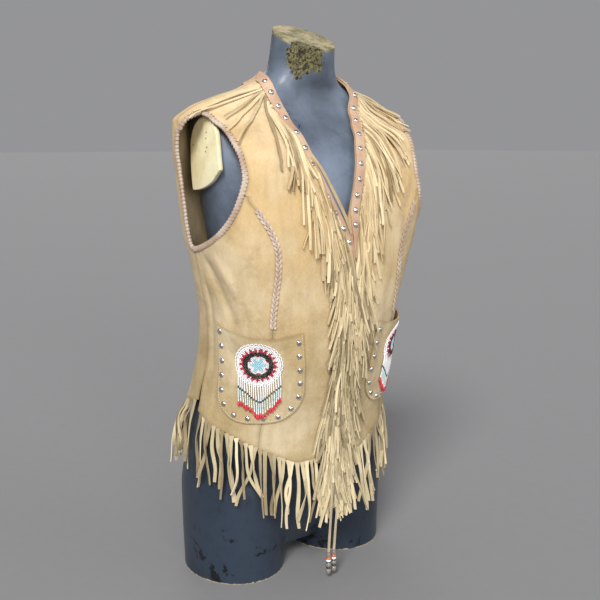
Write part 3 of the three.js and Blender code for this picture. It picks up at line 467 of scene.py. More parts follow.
# Girth is signed here: the wearer's right is negative. Where the cloth drags or hangs slack.
CREASES = tuple(Crease(*row) for row in (
    ((-78, 500), (-60, 395), 9, -3.2), ((-68, 505), (-50, 420), 8, 2.2),
    ((-86, 470), (-84, 330), 11, -3.0), ((-56, 470), (-54, 392), 7, -1.6),
    ((-30, 455), (-30, 300), 10, -1.8), ((-24, 520), (-22, 330), 8, 1.5),
    ((-44, 640), (-33, 560), 9, -2.0), ((-36, 690), (-26, 600), 11, 1.6),
    ((-28, 300), (-24, 215), 9, -1.6), ((-74, 300), (-70, 255), 8, -1.4),
    ((80, 500), (64, 402), 9, -2.8), ((70, 500), (54, 440), 8, 2.0),
    ((87, 460), (82, 340), 10, -2.6), ((31, 470), (30, 330), 9, -1.7),
    ((45, 650), (36, 570), 9, -1.8), ((34, 690), (28, 610), 10, 1.5),
    ((56, 300), (58, 245), 8, -1.3), ((112, 505), (140, 430), 12, -2.6),
    ((248, 505), (222, 425), 12, -2.9), ((150, 470), (176, 400), 13, -1.8),
    ((206, 480), (186, 395), 13, -1.6), ((105, 400), (112, 300), 12, 2.2),
    ((256, 410), (247, 300), 12, 2.0), ((130, 660), (150, 600), 14, -1.8),
    ((228, 665), (212, 600), 14, -2.0), ((165, 330), (160, 255), 12, 1.8),
    ((196, 335), (204, 258), 12, 1.7), ((180, 700), (181, 640), 16, -1.2),
))


class Side(Enum):
    """The wearer's own side, with the sign of its X and its mark in node names."""

    RIGHT = (-1, "r")
    LEFT = (1, "l")

    @property
    def sign(self) -> int:
        """Sign of X on this side."""
        return self.value[0]

    @property
    def tag(self) -> str:
        """Last letter of this side's node names."""
        return self.value[1]


BACK = Side.LEFT        # the back's girth angles run on from the left front's, from 90 to 270


class Garment(Surface):
    """The outer face of the vest, with its creases and the lap of the right front."""

    def drape(self, girth: Array, z: Array) -> Array:
        """Sum the creases; girth is signed, or runs from 90 to 270 over the back."""
        return sum(crease.height(girth, z) for crease in CREASES)

    def lap(self, side: Side, girth: Array, z: Array) -> Array:
        """How far the right front is lifted near its edge, where it lies over the left."""
        if side is Side.LEFT:
            return np.zeros(np.broadcast(girth, z).shape)
        return OVERLAP_LIFT * (1 - smooth((girth - 3) / 11)) * (1 - smooth((z - 545) / 75))

    def face(self, side: Side, girth: Number, z: Number, out: Number) -> Array:
        """Give places on one front, or on the back, whose girth runs on from the left front's.

        Args:
            side: the wearer's side.
            girth: degrees from centre front towards that side.
            z: heights in mm.
            out: distance out of the cloth's outer face.

        Returns:
            Points in mm.
        """
        girth, z, out = matched(girth, z, out)
        signed = side.sign * girth
        return self.lifted(signed, z, out + self.drape(signed, z) + self.lap(side, girth, z))

    def waves(self, side: Side, girth: Number, z: Number) -> Array:
        """How far the suede's own unevenness lifts the outer face of one front."""
        return unevenness(self.face(side, girth, z, 0))

    def normal(self, side: Side, girth: Number, z: Number) -> Array:
        """Outward unit normals on one front."""
        return self.frame(side.sign * np.asarray(girth, float), z)[2]

    def beside(self, side: Side, edge: Callable[[Number], Array], level: Number,
               distance: Number) -> tuple[Array, Array]:
        """Give places at a distance from an edge curve, square to it, on one front."""
        girth = edge(level)
        here = self.point(side.sign * girth, level)
        along = self.point(side.sign * edge(level + 1), level + 1) - here
        normal = self.frame(side.sign * girth, level)[2]
        across = np.cross(normal, along) * -side.sign
        moved, z = self.slide(side.sign * girth, level, across, distance, 2)
        return side.sign * moved, z


FORM = Surface(FORM_ROWS)
VEST = Garment(VEST_ROWS)
NECK_EDGE = {Side.RIGHT: RIGHT_NECK_EDGE, Side.LEFT: LEFT_NECK_EDGE}


def row_height(girth: Array, level: Array, hem: Profile, depth: float = HEM_FADE) -> Array:
    """Bend the rows near the hem to its curve, and leave the rows above it level."""
    fade = 1 - smooth((level - HEM_LEVEL) / depth)
    return level + (hem(np.abs(girth)) - HEM_LEVEL) * fade


def sagged(girth: Array, level: Array) -> Array:
    """Lower rows by the shoulder's sag: full from 680 to 700, gone at 600 and at 750."""
    share = smooth((level - 600) / 80) * (1 - smooth((level - 700) / 50))
    return level - SHOULDER_SAG(girth) * share


def levels(stops: Sequence[float], between: int) -> Array:
    """Split each span between stops into equal parts."""
    stops = np.asarray(stops, float)
    places = np.arange((len(stops) - 1) * between + 1) / between
    return np.interp(places, np.arange(len(stops)), stops)


# ---------- meshes
@dataclass
class Parcel:
    """Vertices in mm with faces of any size, ready to become one mesh."""

    vertices: Array
    faces: list[Array]
    marks: dict[str, Array] = field(default_factory=dict)

    @staticmethod
    def joined(parcels: Sequence["Parcel"]) -> "Parcel":
        """Put parcels together, keeping their marks."""
        starts = np.cumsum([0] + [len(part.vertices) for part in parcels])
        faces = [face + start for part, start in zip(parcels, starts) for face in part.faces]
        shapes = {name: mark.shape[1:] for part in parcels for name, mark in part.marks.items()}
        marks = {
            name: np.concatenate([part.marks.get(name, np.zeros((len(part.vertices), *shape)))
                                  for part in parcels])
            for name, shape in shapes.items()
        }
        return Parcel(np.concatenate([part.vertices for part in parcels]), faces, marks)

    def outward(self) -> "Parcel":
        """Turn all faces over if the volume that they close is negative."""
        volume = 0.0
        for face in self.faces:
            a = self.vertices[face[:, 0]]
            for i in range(1, face.shape[1] - 1):
                b, c = self.vertices[face[:, i]], self.vertices[face[:, i + 1]]
                volume += float(np.sum(a * np.cross(b, c)))
        if volume < 0:
            self.faces = [face[:, ::-1] for face in self.faces]
        return self


def grid_faces(rows: int, columns: int, round_columns: bool = False,
               round_rows: bool = False) -> Array:
    """Quads of a grid of vertices numbered row by row, closed round where asked."""
    v, u = np.meshgrid(np.arange(rows if round_rows else rows - 1),
                       np.arange(columns if round_columns else columns - 1), indexing="ij")
    right, up = (u + 1) % columns, (v + 1) % rows
    return np.stack([v * columns + u, v * columns + right, up * columns + right,
                     up * columns + u], axis=-1).reshape(-1, 4)


def full_turn(count: int) -> Array:
    """Evenly spaced angles once round, in radians."""
    return np.linspace(0, 2 * np.pi, count, endpoint=False)


def looped(rings: Array) -> Parcel:
    """Close (rings, sides, 3) points into a tube whose last ring joins the first."""
    count, sides = rings.shape[:2]
    quads = grid_faces(count, sides, round_columns=True, round_rows=True)
    return Parcel(rings.reshape(-1, 3), [quads]).outward()


def shell(outer: Array, inner: Array, round_columns: bool = False) -> Parcel:
    """Close a thin wall between two grids of points.

    Args:
        outer: (rows, columns, 3) points of the outer face.
        inner: points of the inner face, one for each outer point.
        round_columns: whether the last column joins the first.

    Returns:
        A closed parcel; its "edge" mark is the distance in mm from the nearest free edge.
    """
    rows, columns = outer.shape[:2]
    count = rows * columns
    quads = grid_faces(rows, columns, round_columns)
    ids = np.arange(count).reshape(rows, columns)
    if round_columns:
        ring = np.concatenate([ids, ids[:, :1]], axis=1)
        borders = [ring[0], ring[-1][::-1]]
    else:
        borders = [ids[0], ids[:, -1], ids[-1][::-1], ids[:, 0][::-1]]
    rims = [np.stack([run[:-1], run[:-1] + count, run[1:] + count, run[1:]], axis=-1)
            for run in borders]
    faces = [quads, quads[:, ::-1] + count, *rims]
    down = np.linalg.norm(np.diff(outer, axis=0), axis=-1)
    along_v = np.concatenate([np.zeros((1, columns)), np.cumsum(down, axis=0)])
    edge = np.minimum(along_v, along_v[-1] - along_v)
    if not round_columns:
        wide = np.linalg.norm(np.diff(outer, axis=1), axis=-1)
        along_u = np.concatenate([np.zeros((rows, 1)), np.cumsum(wide, axis=1)], axis=1)
        edge = np.minimum(edge, np.minimum(along_u, along_u[:, -1:] - along_u))
    vertices = np.concatenate([outer.reshape(-1, 3), inner.reshape(-1, 3)])
    mark = np.concatenate([edge.ravel(), edge.ravel()])
    return Parcel(vertices, faces, {"edge": mark}).outward()


def ribbons(centre: Array, across: Array, normal: Array, half_width: Array,
            half_thick: Array) -> Parcel:
    """Flat strips of four sides along many paths at once.

    Args:
        centre: (strips, rings, 3) middle line of each strip.
        across: unit vectors along the strip's width.
        normal: unit vectors along its thickness.
        half_width: half of the width, (strips, rings) or a value for all.
        half_thick: half of the thickness, likewise.

    Returns:
        A parcel with a "shade" mark that is one random value for each strip, 0 to 1, which strand finishes use to
        paint shade and highlight strip by strip, and a "run" mark, the share of the strip's length from its root.
    """
    strips, rings = centre.shape[:2]
    w = (np.broadcast_to(half_width, (strips, rings))[..., None] * across)[:, :, None]
    t = (np.broadcast_to(half_thick, (strips, rings))[..., None] * normal)[:, :, None]
    corner = np.array([(-1, -1), (1, -1), (1, 1), (-1, 1)], float)
    points = (centre[:, :, None] + w * corner[:, 0][None, None, :, None]
              + t * corner[:, 1][None, None, :, None])
    tube = grid_faces(rings, 4, round_columns=True)
    caps = np.array([[3, 2, 1, 0], [(rings - 1) * 4 + i for i in range(4)]])
    one = np.concatenate([tube, caps])
    faces = (one[None] + np.arange(strips)[:, None, None] * rings * 4).reshape(-1, 4)
    shade = np.repeat(np.random.default_rng(strips * 7 + rings).random(strips), rings * 4)
    run = np.tile(np.repeat(np.linspace(0, 1, rings), 4), strips)
    return Parcel(points.reshape(-1, 3), [faces], {"shade": shade, "run": run}).outward()


def turned(profile: Sequence[tuple[float, float]], sides: int) -> Parcel:
    """A closed turned shape about Z from a profile of (radius, height), its ends on the axis."""
    rows = np.array(profile[1:-1], float)
    angle = np.arange(sides) * 2 * np.pi / sides
    ring = np.stack([np.cos(angle), np.sin(angle)], axis=-1)
    points = np.concatenate([rows[:, None, :1] * ring[None],
                             np.broadcast_to(rows[:, None, 1:], (len(rows), sides, 1))], axis=-1)
    low, high = len(rows) * sides, len(rows) * sides + 1
    here, after = np.arange(sides), (np.arange(sides) + 1) % sides
    last = (len(rows) - 1) * sides
    fans = np.concatenate([
        np.stack([after, here, np.full(sides, low)], -1),
        np.stack([here + last, after + last, np.full(sides, high)], -1)])
    ends = np.array([(0, 0, profile[0][1]), (0, 0, profile[-1][1])], float)
    vertices = np.concatenate([points.reshape(-1, 3), ends])
    return Parcel(vertices, [grid_faces(len(rows), sides, round_columns=True), fans]).outward()


def stamped(shape: Parcel, places: Array, axes: Array) -> Parcel:
    """Repeat a small shape at many places.

    Args:
        shape: the shape, about its own origin.
        places: (count, 3) points.
        axes: (count, 3, 3) rows that its X, Y and Z become, right-handed.

    Returns:
        One parcel of all copies.
    """
    points = places[:, None] + np.einsum("vi,nij->nvj", shape.vertices, axes)
    size = len(shape.vertices)
    shift = np.arange(len(places))[:, None, None] * size
    faces = [(face[None] + shift).reshape(-1, face.shape[1]) for face in shape.faces]
    return Parcel(points.reshape(-1, 3), faces)


def upright(normal: Array, toward: Array) -> Array:
    """Right-handed axes whose Z is the normal and whose X leans toward a direction."""
    x = unit(toward - normal * np.sum(toward * normal, -1, keepdims=True))
    return np.stack([x, np.cross(normal, x), normal], axis=-2)


def placed(name: str, data: bpy.types.ID) -> Piece:
    """Make an object of a mesh, light or camera and put it in the scene."""
    piece = bpy.data.objects.new(name, data)
    bpy.context.scene.collection.objects.link(piece)
    return piece


def aimed(name: str, data: bpy.types.ID, place: Sequence[float],
          target: Sequence[float]) -> Piece:
    """Put a light or camera at a place and turn it to a target."""
    piece = placed(name, data)
    piece.location = place
    way = Vector(target) - piece.location
    piece.rotation_euler = way.to_track_quat("-Z", "Y").to_euler()
    return piece


def dress(name: str, parcel: Parcel, finish: "Finish", nodes: Sequence[str] = (),
          crisp: float = 45.0) -> Piece:
    """Make one object from a parcel, give it its finish and let it stand for CAD nodes.

    Args:
        name: the piece's name.
        parcel: its closed mesh, in mm.
        finish: the finish that makes its material.
        nodes: CAD nodes that it replaces.
        crisp: edges sharper than this many degrees are shaded hard.

    Returns:
        The object, riding on the root body.
    """
    mesh = bpy.data.meshes.new(name)
    loops = np.concatenate([face.ravel() for face in parcel.faces]).astype(np.int32)
    totals = np.concatenate([np.full(len(face), face.shape[1]) for face in parcel.faces])
    starts = np.concatenate([[0], np.cumsum(totals)[:-1]]).astype(np.int32)
    mesh.vertices.add(len(parcel.vertices))
    mesh.vertices.foreach_set("co", (parcel.vertices * MM).astype(np.float32).ravel())
    mesh.loops.add(len(loops))
    mesh.loops.foreach_set("vertex_index", loops)
    mesh.polygons.add(len(totals))
    mesh.polygons.foreach_set("loop_start", starts)
    mesh.update(calc_edges=True)
    for label, values in parcel.marks.items():
        kind, slot = ("FLOAT_COLOR", "color") if values.ndim == 2 else ("FLOAT", "value")
        layer = mesh.attributes.new(label, kind, "POINT")
        layer.data.foreach_set(slot, values.astype(np.float32).ravel())
    mesh.validate()
    mesh.shade_smooth()
    mesh.set_sharp_from_angle(angle=np.radians(crisp))
    mesh.materials.append(finish.material())
    piece = placed(name, mesh)
    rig.ride(piece, "root")
    if nodes:
        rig.replaces(piece, *nodes)
    LOG.info("%s: %d faces", name, len(totals))
    return piece


def cut_size(outer: Array) -> tuple[tuple[float, float], float]:
    """Measure a panel's flat cut: (greatest width, greatest length) in m and its area in m2."""
    width = np.linalg.norm(np.diff(outer, axis=1), axis=-1).sum(axis=1).max()
    length = np.linalg.norm(np.diff(outer, axis=0), axis=-1).sum(axis=0).max()
    a, b = outer[1:, 1:] - outer[:-1, :-1], outer[1:, :-1] - outer[:-1, 1:]
    area = 0.5 * np.linalg.norm(np.cross(a, b), axis=-1).sum()
    return (float(width) * MM, float(length) * MM), float(area) * MM * MM


@dataclass(frozen=True)
class Sided:
    """Something that is made once for each side of the wearer."""

    side: Side

    def dress(self, name: str, parcel: Parcel, finish: "Finish", node: str = "",
              crisp: float = 50.0) -> Piece:
        """Make one object and let it stand for a CAD node, both named for this side."""
        tag = self.side.tag
        return dress(f"{name}_{tag}", parcel, finish, [f"{node}_{tag}"] if node else (), crisp)


# ---------- finishes
def linear(code: str) -> tuple[float, float, float, float]:
    """Turn a hex colour as seen on a screen into linear red, green, blue and 1."""
    value = np.array([int(code[i:i + 2], 16) for i in (0, 2, 4)]) / 255.0
    low, high = value / 12.92, ((value + 0.055) / 1.055) ** 2.4
    return (*(float(part) for part in np.where(value <= 0.04045, low, high)), 1.0)


class Bench:
    """A material under construction: short calls that add and link shader nodes."""

    def __init__(self, name: str) -> None:
        """Start a material with a Principled shader and the object's own coordinates."""
        self.made = bpy.data.materials.new(name)
        self.made.use_nodes = True
        self.tree = self.made.node_tree
        self.shader = self.tree.nodes["Principled BSDF"]
        self.place = self.add("ShaderNodeTexCoord").outputs["Object"]

    def add(self, kind: str, **settings: object) -> bpy.types.Node:
        """Add a node and set its properties."""
        node = self.tree.nodes.new(kind)
        for label, value in settings.items():
            setattr(node, label, value)
        return node

    def feed(self, socket: Socket, value: object) -> None:
        """Link an output to a socket, or set its own value: a number, a colour or its hex code."""
        if isinstance(value, Socket):
            self.tree.links.new(value, socket)
        else:
            socket.default_value = linear(value) if isinstance(value, str) else value

    def noise(self, scale: float, detail: float = 3.0, rough: float = 0.55,
              drawn: float = 1.0) -> Socket:
        """Grain of a scale per metre, drawn out along Z by a value under 1."""
        vector = self.place
        if drawn < 1:
            bend = self.add("ShaderNodeMapping")
            self.feed(bend.inputs["Vector"], vector)
            bend.inputs["Scale"].default_value = (1.0, 1.0, drawn)
            vector = bend.outputs[0]
        node = self.add("ShaderNodeTexNoise")
        self.feed(node.inputs["Vector"], vector)
        node.inputs["Scale"].default_value = scale
        node.inputs["Detail"].default_value = detail
        node.inputs["Roughness"].default_value = rough
        return node.outputs["Fac"]

    def cells(self, scale: float) -> Socket:
        """Distance to the middle of the nearest cell."""
        node = self.add("ShaderNodeTexVoronoi")
        self.feed(node.inputs["Vector"], self.place)
        node.inputs["Scale"].default_value = scale
        return node.outputs["Distance"]

    def mark(self, name: str, output: str = "Fac") -> Socket:
        """Read one of the mesh's own marks."""
        return self.add("ShaderNodeAttribute", attribute_name=name).outputs[output]

    def span(self, value: object, low: float, high: float, out_low: float = 0.0,
             out_high: float = 1.0) -> Socket:
        """Map a range smoothly on to another."""
        node = self.add("ShaderNodeMapRange", interpolation_type="SMOOTHSTEP")
        self.feed(node.inputs["Value"], value)
        for label, number in (("From Min", low), ("From Max", high), ("To Min", out_low),
                              ("To Max", out_high)):
            node.inputs[label].default_value = number
        return node.outputs["Result"]

    def math(self, operation: str, a: object, b: object = 0.0) -> Socket:
        """One arithmetic step."""
        node = self.add("ShaderNodeMath", operation=operation)
        self.feed(node.inputs[0], a)
        self.feed(node.inputs[1], b)
        return node.outputs[0]

    def times(self, a: object, b: object) -> Socket:
        """Product of two values."""
        return self.math("MULTIPLY", a, b)

    def plus(self, a: object, b: object) -> Socket:
        """Sum of two values."""
        return self.math("ADD", a, b)

    def mix(self, share: object, a: object, b: object, blend: str = "MIX") -> Socket:
        """Mix two colours by a share."""
        node = self.add("ShaderNodeMix", data_type="RGBA", blend_type=blend)
        self.feed(node.inputs["Factor"], share)
        self.feed(node.inputs["A"], a)
        self.feed(node.inputs["B"], b)
        return node.outputs["Result"]

    def patches(self, low: float, high: float, *grain: float) -> Socket:
        """Soft-edged patches of noise: 0 where its grain is under low, 1 where it is over high."""
        return self.span(self.noise(*grain), low, high)

    def stain(self, tone: object, mask: object, strength: float, code: str) -> Socket:
        """Lay a hex colour over a tone where a mask is, at a strength."""
        return self.mix(self.times(mask, strength), tone, code)

    def axis(self, letter: str) -> Socket:
        """One coordinate of the object's own place, in metres."""
        node = self.add("ShaderNodeSeparateXYZ")
        self.feed(node.inputs[0], self.place)
        return node.outputs[letter]

    def bump(self, height: object, distance: float, strength: float = 1.0,
             under: object = None) -> Socket:
        """Relief of a height field, over another relief where one is given."""
        node = self.add("ShaderNodeBump")
        node.inputs["Strength"].default_value = strength
        node.inputs["Distance"].default_value = distance
        self.feed(node.inputs["Height"], height)
        if under is not None:
            self.feed(node.inputs["Normal"], under)
        return node.outputs["Normal"]

    def surface(self, **sockets: object) -> Material:
        """Set the shader's sockets by name, with _ for a space, and finish."""
        for label, value in sockets.items():
            self.feed(self.shader.inputs[label.replace("_", " ")], value)
        return self.made


@dataclass(frozen=True)
class Finish:
    """A finish that makes one material and shares it between its pieces."""

    name: str

    def material(self) -> Material:
        """Return the material, made on first use."""
        label = f"{self.name}_finish"
        found = bpy.data.materials.get(label)
        return found or self.build(Bench(label))

    def build(self, bench: Bench) -> Material:
        """Build the material's nodes."""
        raise NotImplementedError


@dataclass(frozen=True)
class Suede(Finish):
    """Brushed suede: cloudy colour, streaks of nap, fine fibre, darker handled places; on strands, painted shade and
    painted highlights strand by strand.
    """

    light: str = "e4d5b7"
    tan: str = "cfb180"
    khaki: str = "ad9971"
    shadow: str = "775e3a"
    strands: bool = False

    def build(self, bench: Bench) -> Material:
        """Mix khaki low on the garment into golden tan above it, then cloud and streak it."""
        up = bench.span(bench.axis("Z"), 0.20, 0.66)
        tone = bench.mix(up, self.khaki, self.tan)
        tone = bench.stain(tone, bench.patches(0.40, 0.64, 8.0, 5.0, 0.62), 0.5, self.light)
        tone = bench.stain(tone, bench.patches(0.50, 0.68, 24.0, 5.0, 0.7), 0.22, self.shadow)
        streaks = bench.patches(0.35, 0.7, 60.0, 5.0, 0.65, 0.22)
        tone = bench.stain(tone, streaks, 0.17, self.shadow)
        tone = bench.stain(tone, bench.patches(0.4, 0.75, 420.0, 3.0, 0.7), 0.2, self.light)
        if self.strands:
            # Painted shade and highlight: by its random shade mark each strand is darkened towards the darkest colour
            # or lightened towards the light one, for the dark gaps between strands and their lit faces.
            shade = bench.mark("shade")
            tone = bench.mix(bench.span(shade, 0.5, 1.0, 0.0, 0.62), tone, self.shadow)
            tone = bench.mix(bench.span(shade, 0.55, 0.0, 0.0, 0.75), tone, self.light)
        else:
            tone = bench.stain(tone, bench.patches(0.56, 0.74, 5.0, 5.0, 0.7), 0.35, self.shadow)
            rim = bench.span(bench.mark("edge"), 7.0, 0.0)
            tone = bench.stain(tone, rim, 0.35, self.shadow)
        fibre = bench.noise(900.0, 2.0, 0.6)
        nap = bench.noise(170.0, 4.0, 0.7, 0.5)
        relief = bench.bump(nap, 0.0009, 0.8, bench.bump(fibre, 0.0003, 0.6))
        if not self.strands:
            puckers = bench.noise(34.0, 3.0, 0.55, 0.55)
            relief = bench.bump(puckers, 0.004, 0.5, relief)
        return bench.surface(Base_Color=tone, Roughness=0.93, Normal=relief,
                             Specular_IOR_Level=0.18, Sheen_Weight=0.08, Sheen_Roughness=0.6,
                             Sheen_Tint="f3e2bd")


@dataclass(frozen=True)
class SmoothLeather(Finish):
    """Grain leather of the bands and laces: fine pores, handled and slightly shiny."""

    main: str = "b89379"
    pale: str = "c9ad93"
    dark: str = "84634d"
    gloss: float = 0.6

    def build(self, bench: Bench) -> Material:
        """Cloud the colour and emboss a small grain."""
        cloud = bench.patches(0.35, 0.7, 30.0, 4.0, 0.6)
        tone = bench.mix(cloud, self.main, self.pale)
        tone = bench.stain(tone, bench.patches(0.52, 0.75, 120.0, 4.0, 0.7), 0.5, self.dark)
        return bench.surface(Base_Color=tone, Roughness=self.gloss, Specular_IOR_Level=0.35,
                             Normal=bench.bump(bench.cells(900.0), 0.0003, 0.5))


@dataclass(frozen=True)
class Nickel(Finish):
    """Polished nickel studs, a little tarnished."""

    def build(self, bench: Bench) -> Material:
        """Cloud both colour and roughness with tarnish."""
        tarnish = bench.patches(0.4, 0.75, 160.0, 4.0, 0.6)
        tone = bench.mix(tarnish, "ece8e6", "9a9392")
        return bench.surface(Base_Color=tone, Metallic=1.0,
                             Roughness=bench.span(tarnish, 0.0, 1.0, 0.16, 0.34))


@dataclass(frozen=True)
class GlassBeads(Finish):
    """Opaque glass seed beads, coloured bead by bead by the mesh's own tint."""

    def build(self, bench: Bench) -> Material:
        """Take the tint from the mesh, with a small unevenness of the glass."""
        waver = bench.span(bench.noise(700.0, 2.0), 0.3, 0.7, 0.9, 1.04)
        tone = bench.mix(1.0, bench.mark("tint", "Color"), waver, "MULTIPLY")
        return bench.surface(Base_Color=tone, Roughness=0.22, Coat_Weight=0.4,
                             Coat_Roughness=0.12)


@dataclass(frozen=True)
class WornPaint(Finish):
    """Slate-blue paint of the dress form, dulled, scuffed and chipped to a dark ground, with a painted highlight on
    the upper front.
    """

    slate: str = "2d3745"
    dusty: str = "758193"
    deep: str = "161b22"
    ground: str = "14161b"
    olive: str = "6f6a4c"
    bare: str = "a69a7c"

    def build(self, bench: Bench) -> Material:
        """Layer the paint: a painted highlight on the upper front, clouds, chips near the thigh ends, a bare cap and a
        scraped throat.
        """
        height = bench.axis("Z")
        # Painted highlight: the upper front of the chest and neck is mixed towards a lighter blue, where the light
        # falls on it.
        front = bench.span(bench.axis("Y"), 0.02, -0.07)
        lit_front = bench.times(bench.span(height, 0.34, 0.56), front)
        tone = bench.mix(lit_front, self.slate, self.dusty)
        tone = bench.stain(tone, bench.patches(0.44, 0.70, 7.0, 3.0, 0.5), 0.55, self.deep)
        tone = bench.stain(tone, bench.patches(0.42, 0.72, 60.0, 5.0, 0.7), 0.22, self.deep)
        low = bench.span(height, 0.13, 0.01)
        fine = bench.noise(30.0, 5.0, 0.70)
        chips = bench.span(bench.plus(fine, bench.times(low, 0.085)),
                           0.672, 0.680)
        tone = bench.mix(chips, tone, self.ground)
        ragged = bench.times(bench.noise(180.0, 5.0, 0.7), 0.009)
        foot = bench.span(bench.math("SUBTRACT", height, ragged), -0.0028, -0.0042)
        tone = bench.mix(foot, tone, self.bare)
        # Height above the slanted cut of the neck: z less the cut's own height at this y.
        slope = bench.times(bench.axis("Y"), -NECK_SLANT)
        over = bench.plus(bench.plus(height, slope),
                          -(NECK_END + NECK_SLANT * (NECK_LEAN - ORIGIN_SHIFT)) * MM)
        cap = bench.span(bench.plus(over, bench.times(ragged, 0.6)),
                         -0.0022, 0.0008)
        capped = bench.mix(bench.patches(0.4, 0.62, 38.0, 6.0, 0.75), self.olive,
                           self.bare)
        capped = bench.mix(bench.patches(0.56, 0.7, 90.0, 6.0, 0.8), capped, "3a3327")
        tone = bench.mix(cap, tone, capped)
        throat = bench.add("ShaderNodeVectorMath", operation="DISTANCE")
        bench.feed(throat.inputs[0], bench.place)
        throat.inputs[1].default_value = tuple(part * MM for part in THROAT_PATCH)
        scraped = bench.plus(throat.outputs["Value"],
                             bench.times(bench.noise(70.0, 5.0, 0.7), 0.05))
        patch = bench.span(scraped, 0.0555, 0.0525)
        speckle = bench.mix(bench.patches(0.42, 0.6, 210.0, 6.0, 0.8), "191812",
                            "7d7650")
        tone = bench.mix(patch, tone, speckle)
        worn = bench.math("MAXIMUM", patch, cap)
        rough = bench.span(worn, 0.0, 1.0, 0.36, 0.85)
        relief = bench.bump(bench.noise(240.0, 4.0, 0.7), 0.0012, 0.25)
        return bench.surface(Base_Color=tone, Roughness=rough, Normal=relief,
                             Specular_IOR_Level=0.4)


@dataclass(frozen=True)
class CreamPlate(Finish):
    """Cream painted plate, faintly dirty."""

    def build(self, bench: Bench) -> Material:
        """Cloud cream into straw and dull it."""
        cloud = bench.patches(0.35, 0.75, 24.0, 5.0, 0.65)
        tone = bench.mix(cloud, "faf2cc", "e3d5a0")
        return bench.surface(Base_Color=tone, Roughness=0.55,
                             Normal=bench.bump(bench.noise(300.0), 0.0004, 0.3))


@dataclass(frozen=True)
class Plain(Finish):
    """An even matt or shiny finish with a little cloud, for thread, screws and the floor."""

    tone: str = "ffffff"
    roughness: float = 0.8
    vary: float = 0.12
    metallic: float = 0.0

    def build(self, bench: Bench) -> Material:
        """Darken the tone in soft clouds."""
        cloud = bench.span(bench.noise(50.0, 4.0), 0.3, 0.7, 1.0 - self.vary, 1.0)
        tone = bench.mix(1.0, self.tone, cloud, "MULTIPLY")
        return bench.surface(Base_Color=tone, Roughness=self.roughness, Metallic=self.metallic)


SUEDE = Suede("suede")
# On the fringe the near-black darkest colour is painted shade and the light colour a painted highlight, laid on strand
# by strand.
FRINGE_SUEDE = Suede("suede_fringe", light="e6d6b2", tan="ccb184", khaki="bcae8c",
                     shadow="5c4930", strands=True)
BAND_LEATHER = SmoothLeather("band_leather")
LACE_LEATHER = SmoothLeather("lace_leather", main="b39b88", pale="cfbfb0", dark="6b5443",
                             gloss=0.7)
# On the thong the near-black darkest colour is painted shade and the light colour a painted highlight, chosen by its
# random shade mark.
TIE_LEATHER = Suede("tie_suede", light="ddd0b6", tan="ae9c7c", khaki="a39273",
                    shadow="3f3527", strands=True)
NICKEL = Nickel("nickel")
BEADS = GlassBeads("bead_glass")
PAINT = WornPaint("worn_paint")
CREAM = CreamPlate("cream_plate")
THREAD = Plain("stitch_thread", tone="dccfae", roughness=0.9)
SCREW = Plain("screw", tone="3b3630", roughness=0.5, metallic=0.6)
FLOOR = Plain("floor_paint", tone="838385", roughness=1.0, vary=0.02)


# ---------- the dress form
def solid_of(parcel: Parcel, voxel: float, passes: int) -> bpy.types.Mesh:
    """Fuse overlapping closed shapes into one skin of even quads and smooth it.

    Args:
        parcel: the shapes, in mm.
        voxel: size of a quad in mm.
        passes: rounds of smoothing.

    Returns:
        The fused mesh in metres, not yet linked.
    """
    raw = bpy.data.meshes.new("raw_form")
    faces = [face.tolist() for group in parcel.faces for face in group]
    raw.from_pydata((parcel.vertices * MM).tolist(), [], faces)
    holder = placed("raw_form", raw)
    fuse = holder.modifiers.new("fuse", "REMESH")
    fuse.mode, fuse.voxel_size = "VOXEL", voxel * MM
    even = holder.modifiers.new("even", "SMOOTH")
    even.factor, even.iterations = 0.5, passes
    graph = bpy.context.evaluated_depsgraph_get()
    fused = bpy.data.meshes.new_from_object(holder.evaluated_get(graph))
    bpy.data.objects.remove(holder)
    bpy.data.meshes.remove(raw)
    return fused


def stacked(rings: Array) -> Parcel:
    """Close a loft through (rings, sides, 3) points with a flat face at each end."""
    rows, sides = rings.shape[:2]
    ends = [np.arange(sides)[None, ::-1], (rows - 1) * sides + np.arange(sides)[None]]
    return Parcel(rings.reshape(-1, 3), [grid_faces(rows, sides, round_columns=True),
                                         *ends]).outward()


@dataclass(frozen=True)
class Cut:
    """A flat cut through the form: all of it beyond the plane comes off."""

    place: tuple[float, float, float]
    outward: tuple[float, float, float]
    above: float = -1000.0


